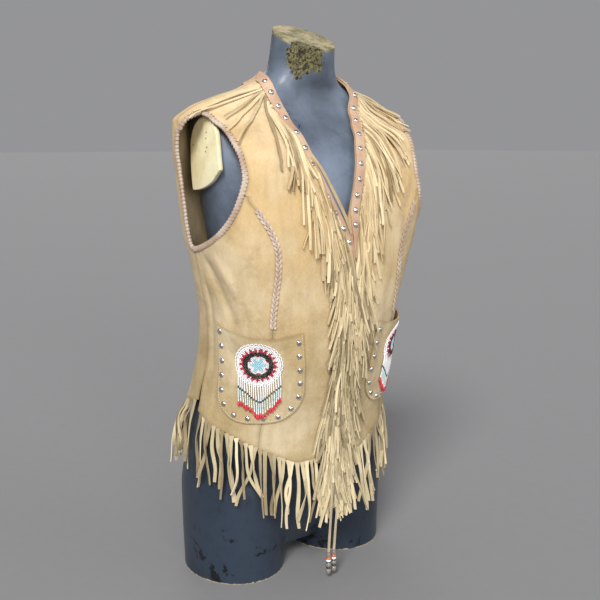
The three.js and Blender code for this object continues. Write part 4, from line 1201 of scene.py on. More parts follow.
@dataclass(frozen=True)
class DressForm:
    """The limbless torso form: a lofted trunk, two thigh stumps and flat cuts."""

    sides: int = 96
    voxel: float = 3.6
    neck_base: float = 760.0
    thigh_x: float = 97.0
    thigh_y: float = 37.0
    thigh_half: float = 76.0
    thigh_depth: float = 86.0
    cheek: float = 162.0        # how far out the arm cuts lie
    cheek_foot: float = 560.0   # they take nothing off below this height
    neck_foot: float = 700.0    # nor does the neck's cut below this one
    passes: int = 6
    merge: float = 0.9          # short edges along a cut are joined below this length

    def trunk(self) -> Parcel:
        """Loft the sections; above the neck's base they tip by a share of the cut's slant."""
        z = np.concatenate([np.linspace(30, 800, 150), [806, 812, 822, 834]])[:, None]
        girth = np.linspace(0, 360, self.sides, endpoint=False)[None]
        points = FORM.point(girth, z)
        share = np.clip((z - self.neck_base) / (NECK_END - self.neck_base), 0, 1)
        middle = FORM.column["centre"](z) + ORIGIN_SHIFT
        points[..., 2] += share * NECK_SLANT * (points[..., 1] - middle)
        return stacked(points)

    def thigh(self, side: Side) -> Parcel:
        """Loft one thigh from below the floor up into the trunk, as a run of scaled ellipses."""
        scale = Profile(((-20, 1.0), (0, 1.0), (60, 1.02), (130, 1.03), (190, 0.9), (240, 0.6)))
        z = np.linspace(-20, 240, 60)[:, None]
        angle = full_turn(self.sides)[None]
        size = scale(z)
        x = side.sign * self.thigh_x + self.thigh_half * size * np.cos(angle)
        y = self.thigh_y + ORIGIN_SHIFT + self.thigh_depth * size * np.sin(angle)
        return stacked(np.stack([x, y, np.broadcast_to(z, x.shape)], axis=-1))

    def cuts(self) -> list[Cut]:
        """The floor cut, the neck cut and the two arm cuts."""
        neck = (0.0, ORIGIN_SHIFT - NECK_LEAN, NECK_END)
        return [Cut((0, 0, 0), (0, 0, -1)),
                Cut(neck, (0, -NECK_SLANT, 1), self.neck_foot),
                *(Cut((side.sign * self.cheek, 0, 0), (side.sign, 0, 0), self.cheek_foot)
                  for side in Side)]

    def build(self) -> None:
        """Fuse the lofts, take the cuts and close them flat."""
        body = Parcel.joined([self.trunk(), *(self.thigh(side) for side in Side)])
        mesh = solid_of(body, self.voxel, self.passes)
        work = bmesh.new()
        work.from_mesh(mesh)
        for cut in self.cuts():
            part = [v for v in work.verts if v.co.z > cut.above * MM]
            inside = set(part)
            edges = [e for e in work.edges if e.verts[0] in inside and e.verts[1] in inside]
            faces = [f for f in work.faces if all(v in inside for v in f.verts)]
            bmesh.ops.bisect_plane(work, geom=part + edges + faces, dist=1e-5,
                                   plane_co=Vector(cut.place) * MM,
                                   plane_no=Vector(cut.outward).normalized(), clear_outer=True)
            rim = [e for e in work.edges if e.is_boundary]
            bmesh.ops.remove_doubles(work, verts=list({v for e in rim for v in e.verts}),
                                     dist=self.merge * MM)
            rim = [e for e in work.edges if e.is_boundary]
            bmesh.ops.holes_fill(work, edges=rim, sides=0)
        bmesh.ops.recalc_face_normals(work, faces=work.faces)
        work.to_mesh(mesh)
        work.free()
        mesh.shade_smooth()
        mesh.set_sharp_from_angle(angle=np.radians(40))
        mesh.materials.clear()
        mesh.materials.append(PAINT.material())
        piece = placed("dress_form", mesh)
        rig.ride(piece, "root")
        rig.replaces(piece, "form_torso")
        LOG.info("dress_form: %d faces", len(mesh.polygons))


@dataclass(frozen=True)
class ArmPlate(Sided):
    """A cream plate on one arm cut, an oval narrower below, with rounded edges and screws."""

    inner: float = 162.3
    thick: float = 6.0
    rounding: float = 1.6
    sides: int = 120

    def outline(self) -> Array:
        """Give (y, z) round the plate: six quadratic curves, evenly resampled."""
        spans = (((-56, 622), (-53, 645), (-50, 668)), ((-50, 668), (-43, 689), (-16, 694)),
                 ((-16, 694), (14, 691), (22, 660)), ((22, 660), (26, 622), (18, 592)),
                 ((18, 592), (-10, 592), (-36, 606)), ((-36, 606), (-46, 614), (-56, 622)))
        t = np.linspace(0, 1, 30, endpoint=False)[:, None]
        run = np.concatenate([(1 - t) ** 2 * np.array(a) + 2 * t * (1 - t) * np.array(b)
                              + t * t * np.array(c) for a, b, c in spans])
        return evenly(np.concatenate([run, run[:1]]), self.sides, with_end=False)

    def build(self) -> None:
        """Stack inset copies of the outline through the thickness and add the screws."""
        outline = self.outline()
        middle = outline.mean(axis=0)
        turn = np.linspace(0, np.pi / 2, 5)
        inset = np.concatenate([[0.4, 0.0], self.rounding * (1 - np.cos(turn))])
        depth = np.concatenate([[0.0, 0.4],
                                self.thick - self.rounding * (1 - np.sin(turn))])
        size = np.linalg.norm(outline - middle, axis=1, keepdims=True)
        rings = []
        for drawn, out in zip(inset, depth):
            flat = middle + (outline - middle) * (1 - drawn / size)
            x = np.full((len(flat), 1), self.side.sign * (self.inner + out))
            rings.append(np.concatenate([x, flat[:, :1] + ORIGIN_SHIFT, flat[:, 1:]], axis=1))
        self.dress("arm_plate", stacked(np.array(rings)), CREAM, "form_arm_plate")
        y, z = np.array([(-22, 664), (-24, 652), (-20, 646), (-23, 672), (14, 655)], float).T
        face = np.full(len(y), self.side.sign * (self.inner + self.thick))
        places = np.stack([face, y + ORIGIN_SHIFT, z], axis=-1)
        outward = np.broadcast_to([self.side.sign, 0.0, 0.0], places.shape)
        head = turned(((0, -0.4), (1.0, -0.4), (1.0, 0.2), (0.6, 0.45), (0, 0.45)), 12)
        axes = upright(outward, UPWARD)
        self.dress("plate_screws", stamped(head, places, axes), SCREW, crisp=45)


# ---------- the panels
PANEL_STOPS = (192, 222, 252, 284, 316, 349, 395, 440, 480, 500, 508, 509.5, 512, 516, 522, 530,
               540, 550, 560, 570, 580, 588, 598, 610, 634, 658, 676, 683, 690, 695, 700, 706,
               712, 724, 736, 746, NECK_TOP)


def seam_shift(girth: Number, z: Number) -> Array:
    """Degrees that leave half a seam's gap beside a girth angle."""
    return (GAP / 2) / np.linalg.norm(VEST.frame(girth, z)[0], axis=-1)


def slit(level: Array, spread: float = 1.5) -> Array:
    """Degrees that a side slit gapes, smoothly from its top to the hem."""
    return spread * smooth((SLIT_TOP - level) / (SLIT_TOP - HEM_LEVEL))


def back_height(girth: Array, level: Array) -> Array:
    """Rows of the back: bent to its hem below, dropped towards the centre at the neck."""
    around = np.minimum(girth, 360 - girth)
    drop = 9 * smooth((around - 90) / 90) * smooth((level - NECK_TOP + 60) / 60)
    return row_height(around, sagged(around, level), BACK_HEM, BACK_HEM_FADE) - drop


@dataclass(frozen=True)
class Panels:
    """The five suede panels, each a thin wall between two curves of girth angle."""

    columns: int = 44
    between: int = 5
    princess_top: float = 588.0

    def in_armhole(self, level: Array) -> Array:
        """Whether a level lies between the armhole's lowest and highest points."""
        return (level > ARMHOLE_LOW) & (level < ARMHOLE_HIGH)

    def centre_edge(self, level: Array) -> Array:
        """Outer edge of a front's centre panel: princess seam, armhole, then shoulder seam."""
        seam = PRINCESS_SEAM(level)
        shoulder = SIDE_SEAM - seam_shift(SIDE_SEAM, level)
        edge = np.where(self.in_armhole(level), ARMHOLE_FRONT(level), shoulder)
        return np.where(level <= self.princess_top, seam - seam_shift(seam, level), edge)

    def side_edge(self, level: Array) -> Array:
        """Outer edge of a front's side panel: the side seam with its slit, then the armhole."""
        seam = SIDE_SEAM - seam_shift(SIDE_SEAM, level) - slit(level)
        return np.where(self.in_armhole(level), ARMHOLE_FRONT(level), seam)

    def back_edge(self, level: Array) -> Array:
        """The back's edge on the wearer's left."""
        seam = SIDE_SEAM + seam_shift(SIDE_SEAM, level)
        low = np.where(self.in_armhole(level), ARMHOLE_BACK(level), seam + slit(level))
        return np.where(level >= ARMHOLE_HIGH, seam, low)

    def front(self, name: str, side: Side, rows: Array, inner: Array,
              outer: Array) -> tuple[Piece, Array]:
        """Make one front panel.

        Args:
            name: its CAD node without the side's letter.
            side: the wearer's side.
            rows: levels, from the hem up.
            inner: girth of the edge towards centre front, for each row.
            outer: girth of the other edge.

        Returns:
            The object and the grid of its outer face.
        """
        share = np.linspace(0, 1, self.columns + 1)
        girth = inner[:, None] + (outer - inner)[:, None] * share
        z = row_height(girth, sagged(girth, rows[:, None]), FRONT_HEM)
        wave = VEST.waves(side, girth, z)
        grids = [VEST.face(side, girth, z, wave - depth) for depth in (0.0, WALL)]
        node = f"{name}_{side.tag}"
        return dress(f"suede_{node}", shell(*grids), SUEDE, [node]), grids[0]

    def back(self) -> tuple[Piece, Array]:
        """Make the back, from the left side seam round to the right one."""
        rows = levels(PANEL_STOPS, self.between)
        edge = self.back_edge(rows)[:, None]
        share = np.linspace(0, 1, 2 * self.columns + 1)
        girth = edge + (360 - 2 * edge) * share
        z = back_height(girth, rows[:, None])
        wave = VEST.waves(BACK, girth, z)
        grids = [VEST.face(BACK, girth, z, wave - depth) for depth in (0.0, WALL)]
        return dress("suede_back", shell(*grids), SUEDE, ["back"]), grids[0]

    def build(self) -> dict[str, tuple[Piece, Array]]:
        """Make all five panels, by CAD node name."""
        rows = levels(PANEL_STOPS, self.between)
        low = rows[rows <= self.princess_top]
        made = {"back": self.back()}
        for side in Side:
            made[f"front_centre_{side.tag}"] = self.front(
                "front_centre", side, rows, NECK_EDGE[side](rows), self.centre_edge(rows))
            seam = PRINCESS_SEAM(low)
            made[f"front_side_{side.tag}"] = self.front(
                "front_side", side, low, seam + seam_shift(seam, low), self.side_edge(low))
        return made


# ---------- bands, studs and laces
DOME = turned(((0, -0.9), (STUD_RADIUS, -0.9), (STUD_RADIUS, 0.15), (4.15, 0.6), (3.75, 1.2),
               (3.05, 1.85), (2.1, 2.32), (1.05, 2.56), (0, STUD_HEIGHT)), 24)


def studded(side: Side, girth: Array, z: Array, out: Array) -> Parcel:
    """Set domed studs on one front, square to the surface."""
    places = VEST.face(side, girth, z, out)
    return stamped(DOME, places, upright(VEST.normal(side, girth, z), UPWARD))


@dataclass(frozen=True)
class NeckBand(Sided):
    """One front's studded leather band along the neck and front edge, slightly crowned."""

    out: float = 0.5
    crown: float = 0.5
    stud_levels: tuple[float, ...] = (744, 728, 710, 691, 671, 651, 630, 609, 587, 565, 543, 522)
    left_studs: int = 11
    point: float = 1.5

    def edge(self, level: Number) -> Array:
        """Girth of the band's inner edge."""
        return (LEFT_BAND_EDGE if self.side is Side.LEFT else RIGHT_NECK_EDGE)(level)

    def width(self, level: Array) -> Array:
        """Full width, drawn to a point at the left band's lower end."""
        if self.side is Side.RIGHT:
            return np.full(np.shape(level), BAND_WIDTH)
        return self.point + (BAND_WIDTH - self.point) * smooth((level - LEFT_BAND_FOOT) / 80)

    def build(self) -> list[Piece]:
        """Lay the crowned ribbon on the front and set its studs along the middle."""
        low = LEFT_BAND_FOOT if self.side is Side.LEFT else HEM_LEVEL
        rows = levels(tuple(sorted({low, 499, *(s for s in PANEL_STOPS if s > low), 742, 749})), 4)
        level, share = matched(rows[:, None], np.linspace(0, 1, 11))
        girth, z = VEST.beside(self.side, self.edge, level, self.width(level) * share)
        neck = 0.8 * smooth((level - 736) / 12)
        waver = 0.25 * np.sin(level * 0.11) + 0.15 * np.sin(level * 0.31 + 1)
        bulge = BAND_THICK + self.crown * (1 - (2 * share - 1) ** 2) + waver * 0.4
        base = VEST.waves(self.side, girth, z) + neck
        outer = VEST.face(self.side, girth, z, base + self.out + bulge)
        inner = VEST.face(self.side, girth, z, base + 0.05)
        band = self.dress("leather_band", shell(outer, inner), BAND_LEATHER, "neck_band")
        at = np.array(self.stud_levels, float)
        if self.side is Side.LEFT:
            at = at[:self.left_studs]
        girth, z = VEST.beside(self.side, self.edge, at, self.width(at) / 2)
        face = self.out + BAND_THICK + self.crown + VEST.waves(self.side, girth, z)
        studs = studded(self.side, girth, z, face)
        return [band, self.dress("band_studs", studs, NICKEL, crisp=45)]


def back_neck_band() -> Piece:
    """Lay the band along the back neck edge, between the two shoulder seams."""
    girth = np.linspace(101.3, 258.7, 90)[None]
    level = np.linspace(NECK_TOP + 0.6, 741, 9)[:, None]
    z = back_height(girth, level)
    share = np.broadcast_to(np.linspace(-1, 1, 9)[:, None], z.shape)
    wave = VEST.waves(BACK, girth, z)
    outer = VEST.face(BACK, girth, z, wave + 2.1 + 0.5 * (1 - share ** 2))
    return dress("leather_band_back", shell(outer, VEST.face(BACK, girth, z, wave + 0.05)),
                 BAND_LEATHER, ["neck_band_back"], 50)


@dataclass(frozen=True)
class ArmholeBinding(Sided):
    """A rolled edge round one armhole, whipped over with two laces that cross."""

    half_width: float = 3.6
    half_thick: float = 2.0
    pitch: float = 5.0
    steps: int = 15
    length: float = 486.0       # round the binding, to count the turns by
    inset: float = 2.9          # of the binding's middle from the panels' edge

    def path(self, count: int) -> tuple[Array, Array]:
        """Walk up the front of the armhole and down its back in even steps.

        Args:
            count: number of places.

        Returns:
            Their girth angles and heights.
        """
        ease = 0.5 - 0.5 * np.cos(np.linspace(0, np.pi, 400))
        rise = ARMHOLE_LOW + (ARMHOLE_HIGH - ARMHOLE_LOW) * ease
        girth = np.concatenate([ARMHOLE_FRONT(rise), ARMHOLE_BACK(rise[::-1])])
        z = sagged(girth, np.concatenate([rise, rise[::-1]]))
        points = VEST.point(self.side.sign * girth, z)
        run = runs(points)
        at = np.linspace(0, run[-1], count, endpoint=False)
        return np.interp(at, run, girth), np.interp(at, run, z)

    def line(self, count: int) -> tuple[Array, Array, Array]:
        """Middle line of the binding, with its directions away from the hole and outward."""
        girth, z = self.path(count)
        signed = self.side.sign * girth
        here = VEST.point(signed, z)
        along = np.roll(here, -1, axis=0) - np.roll(here, 1, axis=0)
        normal = VEST.frame(signed, z)[2]
        across = np.cross(along, normal) * self.side.sign
        moved, height = VEST.slide(signed, z, across, self.inset, 2)
        middle = VEST.lifted(moved, height, VEST.drape(moved, height) * 0.5 - 0.4)
        for _ in range(6):
            middle = (np.roll(middle, 1, 0) + 2 * middle + np.roll(middle, -1, 0)) / 4
        tangent = unit(np.roll(middle, -1, axis=0) - np.roll(middle, 1, axis=0))
        normal = unit(normal - tangent * np.sum(normal * tangent, -1, keepdims=True))
        return middle, np.cross(tangent, normal) * self.side.sign, normal

    def lace(self, middle: Array, away: Array, normal: Array, turns: int, way: int) -> Parcel:
        """Wind one flat lace: an ellipse swept round the line, lifted where it goes over.

        Args:
            middle: places of the binding's middle line.
            away: unit vectors away from the hole.
            normal: unit vectors outward.
            turns: number of times round the binding.
            way: 1 or -1, the hand of the helix.

        Returns:
            The closed lace.
        """
        angle = way * np.linspace(0, 2 * np.pi * turns, len(middle), endpoint=False)
        over = 0.4 * np.maximum(0, way * np.sin(angle)) + 0.45
        wide, thick = self.half_width + over, self.half_thick + over
        centre = middle + away * (wide * np.cos(angle))[:, None] + normal * (
            thick * np.sin(angle))[:, None]
        out = unit(away * (np.cos(angle) * thick)[:, None] + normal * (
            np.sin(angle) * wide)[:, None])
        run = unit(np.roll(centre, -1, axis=0) - np.roll(centre, 1, axis=0))
        across = unit(np.cross(out, run))
        corners = np.array([(-0.85, -0.4), (0, -0.5), (0.85, -0.4), (0.85, 0.2), (0, 0.45),
                            (-0.85, 0.2)])
        return looped(centre[:, None] + across[:, None] * corners[None, :, :1]
                      + out[:, None] * corners[None, :, 1:])

    def build(self) -> Piece:
        """Sweep the rolled edge as an ellipse and wind the two laces round it."""
        turns = int(self.length / self.pitch)
        middle, away, normal = self.line(turns * self.steps)
        angle = full_turn(12)
        core = middle[::3]
        tube = (core[:, None] + away[::3, None] * (self.half_width * np.cos(angle))[None, :, None]
                + normal[::3, None] * (self.half_thick * np.sin(angle))[None, :, None])
        laces = [self.lace(middle, away, normal, turns, way) for way in (1, -1)]
        return self.dress("armhole_lace", Parcel.joined([looped(tube), *laces]), LACE_LEATHER,
                          "armhole_binding", 60)


@dataclass(frozen=True)
class SeamLacing(Sided):
    """A braid of three flat thongs over one princess seam."""

    low: float = 404.0
    high: float = 570.0
    sway: float = 3.0
    pitch: float = 22.0

    def build(self) -> Piece:
        """Weave the thongs: each swings as a sine and rises over its neighbours at twice that."""
        rings = 180
        level = np.linspace(self.low, self.high, rings)[None].repeat(3, axis=0)
        phase = (2 * np.pi * (level - self.low) / self.pitch
                 + np.arange(3)[:, None] * 2 * np.pi / 3)
        girth, z = VEST.beside(self.side, PRINCESS_SEAM, level, self.sway * np.sin(phase))
        out = 1.5 + 0.75 * np.sin(2 * phase)
        wave = VEST.waves(self.side, girth, z)
        centre = VEST.face(self.side, girth, z, out + wave)
        along = unit(np.gradient(centre, axis=1))
        normal = VEST.normal(self.side, girth, z)
        across = unit(np.cross(along, normal))
        braid = ribbons(centre, across, np.cross(across, along), 1.45, 0.55)
        return self.dress("seam_braid", braid, LACE_LEATHER, "seam_lacing", 60)


# ---------- pockets and rosettes
@dataclass(frozen=True)
class Pocket(Sided):
    """A U-shaped patch pocket with a gaping top, stitched and studded round its edge."""

    middle: float = 41.0
    foot: float = 260.0
    width: float = 132.0
    height: float = 129.0
    corner: float = 46.0
    thick: float = 1.8
    gape: float = 5.0

    def place(self, across: Number, up: Number) -> tuple[Array, Array]:
        """Walk over the surface: up from the pocket's foot, then level to one side.

        Args:
            across: mm from the middle line, positive towards the side seam.
            up: mm above the foot.

        Returns:
            Girth towards the wearer's own side, and height.
        """
        across, up = matched(across, up)
        sign = self.side.sign
        girth, z = VEST.slide(sign * self.middle, self.foot, UPWARD, up, 4)
        turn = np.radians(self.middle)
        level = np.array([sign * np.cos(turn), np.sin(turn), 0.0])
        girth, z = VEST.slide(girth, z, level, across, 5)
        return sign * girth, z

    def half(self, up: Array) -> Array:
        """Half width at a height, full above the rounded lower corners."""
        into = np.maximum(0, 1 - up / self.corner)
        return self.width / 2 - self.corner * (1 - np.sqrt(np.maximum(0, 1 - into ** 2)))

    def top(self, share: Array) -> Array:
        """Height of the top edge, dipped in the middle and higher towards the side seam."""
        return self.height + 4 + 9 * share ** 2 + 7 * share

    def lift(self, share: Array, rise: Array) -> Array:
        """How far the patch's inner face stands off the front: most at the open top."""
        foot = 0.5 * (1 - smooth(rise / 0.3))
        slack = 0.9 * np.sin(np.pi * np.clip(rise, 0, 1)) * (1 - share ** 2)
        return 0.5 + foot + slack + self.gape * (1 - share ** 2) * smooth((rise - 0.75) / 0.25)

    def face(self, across: Array, up: Array, out: Number = 0.0) -> Array:
        """Places over the patch's outer face, at (across, up)."""
        girth, z = self.place(across, up)
        share = across / (self.width / 2)
        lift = self.lift(share, up / self.top(share)) + self.thick
        base = VEST.waves(self.side, girth, z)
        return VEST.face(self.side, girth, z, base + lift + out)

    def normals(self, across: Array, up: Array) -> Array:
        """Outward unit normals of the front under the patch."""
        return VEST.normal(self.side, *self.place(across, up))

    def course(self, inset: float, gap: float, drop: float = 4.0) -> tuple[Array, Array]:
        """Places along the U at a way in from its edge, evenly spaced, with their headings.

        Args:
            inset: distance in from the edge.
            gap: distance between places.
            drop: how far below the top edge the U starts and ends.

        Returns:
            (count, 2) places as (across, up) and unit headings.
        """
        radius = self.corner - inset
        half = self.width / 2 - inset
        turn = np.linspace(0, np.pi / 2, 40)
        ends = [self.top(np.array(s)) - drop for s in (-1.0, 1.0)]
        left = np.stack([-half + radius * (1 - np.cos(turn)), self.corner - radius * np.sin(turn)])
        right = np.stack([half - radius * (1 - np.sin(turn)), self.corner - radius * np.cos(turn)])
        run = np.concatenate([[(-half, float(ends[0]))], left.T, right.T,
                              [(half, float(ends[1]))]])
        spots = evenly(run, int(round(runs(run)[-1] / gap)) + 1)
        return spots, unit(np.gradient(spots, axis=0))

    def patch(self) -> tuple[Piece, Array]:
        """Make the patch of suede itself."""
        share = np.linspace(-1, 1, 57)[None]
        rise = np.concatenate([np.linspace(0, 0.3, 22), np.linspace(0.32, 1, 34)])[:, None]
        up = rise * self.top(share)
        across = share * self.half(up)
        outer, inner = self.face(across, up), self.face(across, up, -self.thick)
        return self.dress("suede_pocket", shell(outer, inner), SUEDE, "pocket", 45), outer

    def stitches(self) -> Piece:
        """Lay small thread stitches along the U near its edge."""
        spots, heading = self.course(2.6, 3.9)
        places = self.face(spots[:, 0], spots[:, 1], 0.15)
        ahead = self.face(spots[:, 0] + heading[:, 0], spots[:, 1] + heading[:, 1], 0.15)
        normal = self.normals(spots[:, 0], spots[:, 1])
        along = unit(ahead - places)
        axes = np.stack([np.cross(along, normal), normal, along], axis=-2)
        thread = turned(((0, -1.4), (0.34, -1.15), (0.45, 0), (0.34, 1.15), (0, 1.4)), 6)
        return self.dress("pocket_stitches", stamped(thread, places, axes), THREAD, crisp=45)

    def studs(self) -> Piece:
        """Set the sixteen studs, evenly along the U."""
        spots = self.course(8, 1, 14)[0]
        spots = spots[np.linspace(0, len(spots) - 1, 16).astype(int)]
        girth, z = self.place(spots[:, 0], spots[:, 1])
        share = spots[:, 0] / (self.width / 2)
        out = self.lift(share, spots[:, 1] / self.top(share)) + self.thick
        out = out + VEST.waves(self.side, girth, z)
        return self.dress("pocket_studs", studded(self.side, girth, z, out), NICKEL, crisp=45)

    def build(self) -> tuple[Piece, Array, list[Piece]]:
        """Make the patch, its stitches and its studs."""
        piece, outer = self.patch()
        return piece, outer, [self.stitches(), self.studs()]


class Glass(Enum):
    """Bead colours, as linear red, green, blue and 1."""

    WHITE = linear("fdfdff")
    RED = linear("c2123a")
    SCARLET = linear("d63a48")
    BLACK = linear("161616")
    BLUE = linear("b4e4f4")
    TEAL = linear("0e4a52")
    MINT = linear("cfe8e4")
    SILVER = linear("7f7a74")
    COPPER = linear("c0642f")


SEED_BEAD = turned(((0, -0.72), (0.72, -0.72), (1.02, 0), (0.72, 0.72), (0, 0.72)), 8)


def strung(places: Array, axis: Array, side_way: Array, tints: Array,
           shape: Parcel = SEED_BEAD) -> Parcel:
    """Put a bead at each place with its hole along an axis, tinted bead by bead."""
    axes = upright(unit(axis), side_way)
    beads = stamped(shape, places, axes)
    beads.marks = {"tint": np.repeat(tints, len(shape.vertices), axis=0)}
    return beads


@dataclass(frozen=True)
class Rosette:
    """A beaded disc with a flower in a black ring, and a fringe of bead strands."""

    pocket: Pocket
    middle: float = 92.0
    radius: float = 33.0
    pitch: float = 2.05
    points: int = 21
    strands: int = 20
    ring_inner: float = 14.3    # of the black ring
    ring_outer: float = 21.3
    point_length: float = 6.3   # of the red points round it
    rings: int = 16             # rings of beads in the disc
    bead_width: float = 1.86    # along a ring
    half_span: float = 29.0     # how far from the middle the outermost strands hang
    hang_radius: float = 31.0   # of the line that the strands hang from
    strand_gap: float = 1.62    # from bead to bead down a strand

    def tint(self, radius: Array, angle: Array) -> Array:
        """Colour of the disc at a polar place: flower, points, ring, rays and white rim."""
        petal = 8.8 + 3.6 * np.cos(6 * angle)
        small = (radius > 11.0 + 14 * np.abs(_saw(angle, 6, 0.5)))
        ray = (radius - self.ring_outer) / 6.6 < 1 - np.abs(_saw(angle, self.points, 0.0)) * 2.15
        table = np.array([g.value for g in (Glass.WHITE, Glass.BLUE, Glass.RED, Glass.BLACK)])
        pick = np.zeros(radius.shape, int)
        pick[radius < petal] = 1
        beyond = radius - self.ring_outer
        pick[(radius < self.ring_inner) & small & (radius > petal)] = 2
        pick[(radius >= self.ring_inner) & (beyond < 0)] = 3
        pick[(beyond >= 0) & (beyond < self.point_length) & ray] = 2
        return table[pick]

    def disc(self) -> Parcel:
        """Lay rings of beads, the black ones raised and the rim scalloped."""
        radii = 1.1 + self.pitch * np.arange(self.rings)
        counts = np.maximum(3, np.round(2 * np.pi * radii / self.bead_width).astype(int))
        radius = np.repeat(radii, counts)
        angle = np.concatenate([np.arange(n) * 2 * np.pi / n + 0.37 * k
                                for k, n in enumerate(counts)])
        edge = radius > 30
        spread = radius + np.where(edge, 1.5 * np.abs(np.sin(17 * angle)), 0)
        across, up = spread * np.cos(angle), self.middle + spread * np.sin(angle)
        ring = smooth((radius - 12.5) / 3) * smooth((23.5 - radius) / 3)
        out = 1.5 + 1.3 * ring + 0.6 * (1 - smooth(radius / 12)) - 0.3 * edge
        places = self.pocket.face(across, up, out)
        step = 0.5
        ahead = self.pocket.face(across - step * np.sin(angle), up + step * np.cos(angle), out)
        return strung(places, ahead - places, self.pocket.normals(across, up),
                      self.tint(radius, angle))

    def backing(self) -> Parcel:
        """A thin white disc under the beads, as a closed polar wall."""
        radius = np.linspace(0.6, self.radius - 1.2, 12)[:, None]
        angle = full_turn(60)[None]
        across, up = radius * np.cos(angle), self.middle + radius * np.sin(angle)
        wall = shell(self.pocket.face(across, up, 0.9), self.pocket.face(across, up, 0.05),
                     round_columns=True)
        wall.marks = {"tint": np.broadcast_to(linear("b9b1a6"), (len(wall.vertices), 4))}
        return wall

    def dangles(self) -> Parcel:
        """Hang the strands: white, a dark V, pale below, a white cap and a red drop."""
        share = np.linspace(-1, 1, self.strands)
        parts: list[tuple[Array, Array, Array, Array]] = []
        rng = np.random.default_rng(5)
        for s in share:
            across = self.half_span * s
            tip = 9 + 24 * abs(s) + rng.uniform(-2.4, 2.4)
            start = self.middle - np.sqrt(max(0.0, self.hang_radius ** 2 - across ** 2)) * 0.96
            start = min(start, self.middle - 9)
            up = np.arange(start, tip + 5.2, -self.strand_gap)
            vee = 34 + 24 * abs(s)
            pale = 0.5 < np.abs(np.sin(up * 1.1 + s * 3))
            colour = np.where(up[:, None] > vee + 2.4, Glass.WHITE.value,
                              np.where(pale[:, None], Glass.MINT.value, Glass.WHITE.value))
            colour[np.abs(up - vee) < 1.7] = Glass.TEAL.value
            colour[-2:] = Glass.WHITE.value
            sway = 0.5 * np.sin(up * 0.12 + 9 * s)
            arch = 1.9 + 1.1 * np.sin(np.pi * np.clip((start - up) / (start - tip), 0, 1))
            parts.append((across + sway, up, arch, colour))
        across, up, out = (np.concatenate([part[i] for part in parts]) for i in range(3))
        places = self.pocket.face(across, up, out)
        axis = self.pocket.face(across, up + 0.5, out) - places
        beads = strung(places, axis, self.pocket.normals(across, up),
                       np.concatenate([part[3] for part in parts]))
        ends = np.array([[part[i][-1] for part in parts] for i in range(3)])
        drop_across, drop_up, drop_out = ends + np.array([[0.0], [-4.0], [0.2]])
        drops = self.pocket.face(drop_across, drop_up, drop_out)
        pear = turned(((0, -4.6), (1.1, -4.2), (1.75, -2.7), (1.5, -0.4), (0.9, 1.9), (0.6, 3.1),
                       (0, 3.3)), 8)
        way = self.pocket.face(drop_across, drop_up + 0.5, drop_out) - drops
        red = np.broadcast_to(Glass.SCARLET.value, (len(drops), 4))
        return Parcel.joined([beads, strung(drops, way, self.pocket.normals(drop_across, drop_up),
                                            red, pear)])

    def build(self) -> Piece:
        """Join the backing, the disc and the strands into one beaded piece."""
        work = Parcel.joined([self.backing(), self.disc(), self.dangles()])
        return self.pocket.dress("beaded_rosette", work, BEADS, "rosette", 70)


def _saw(angle: Array, count: int, phase: float) -> Array:
    """Distance from the nearest of evenly spaced rays, as a share of their spacing."""
    turn = angle * count / (2 * np.pi) + phase
    return turn - np.round(turn)


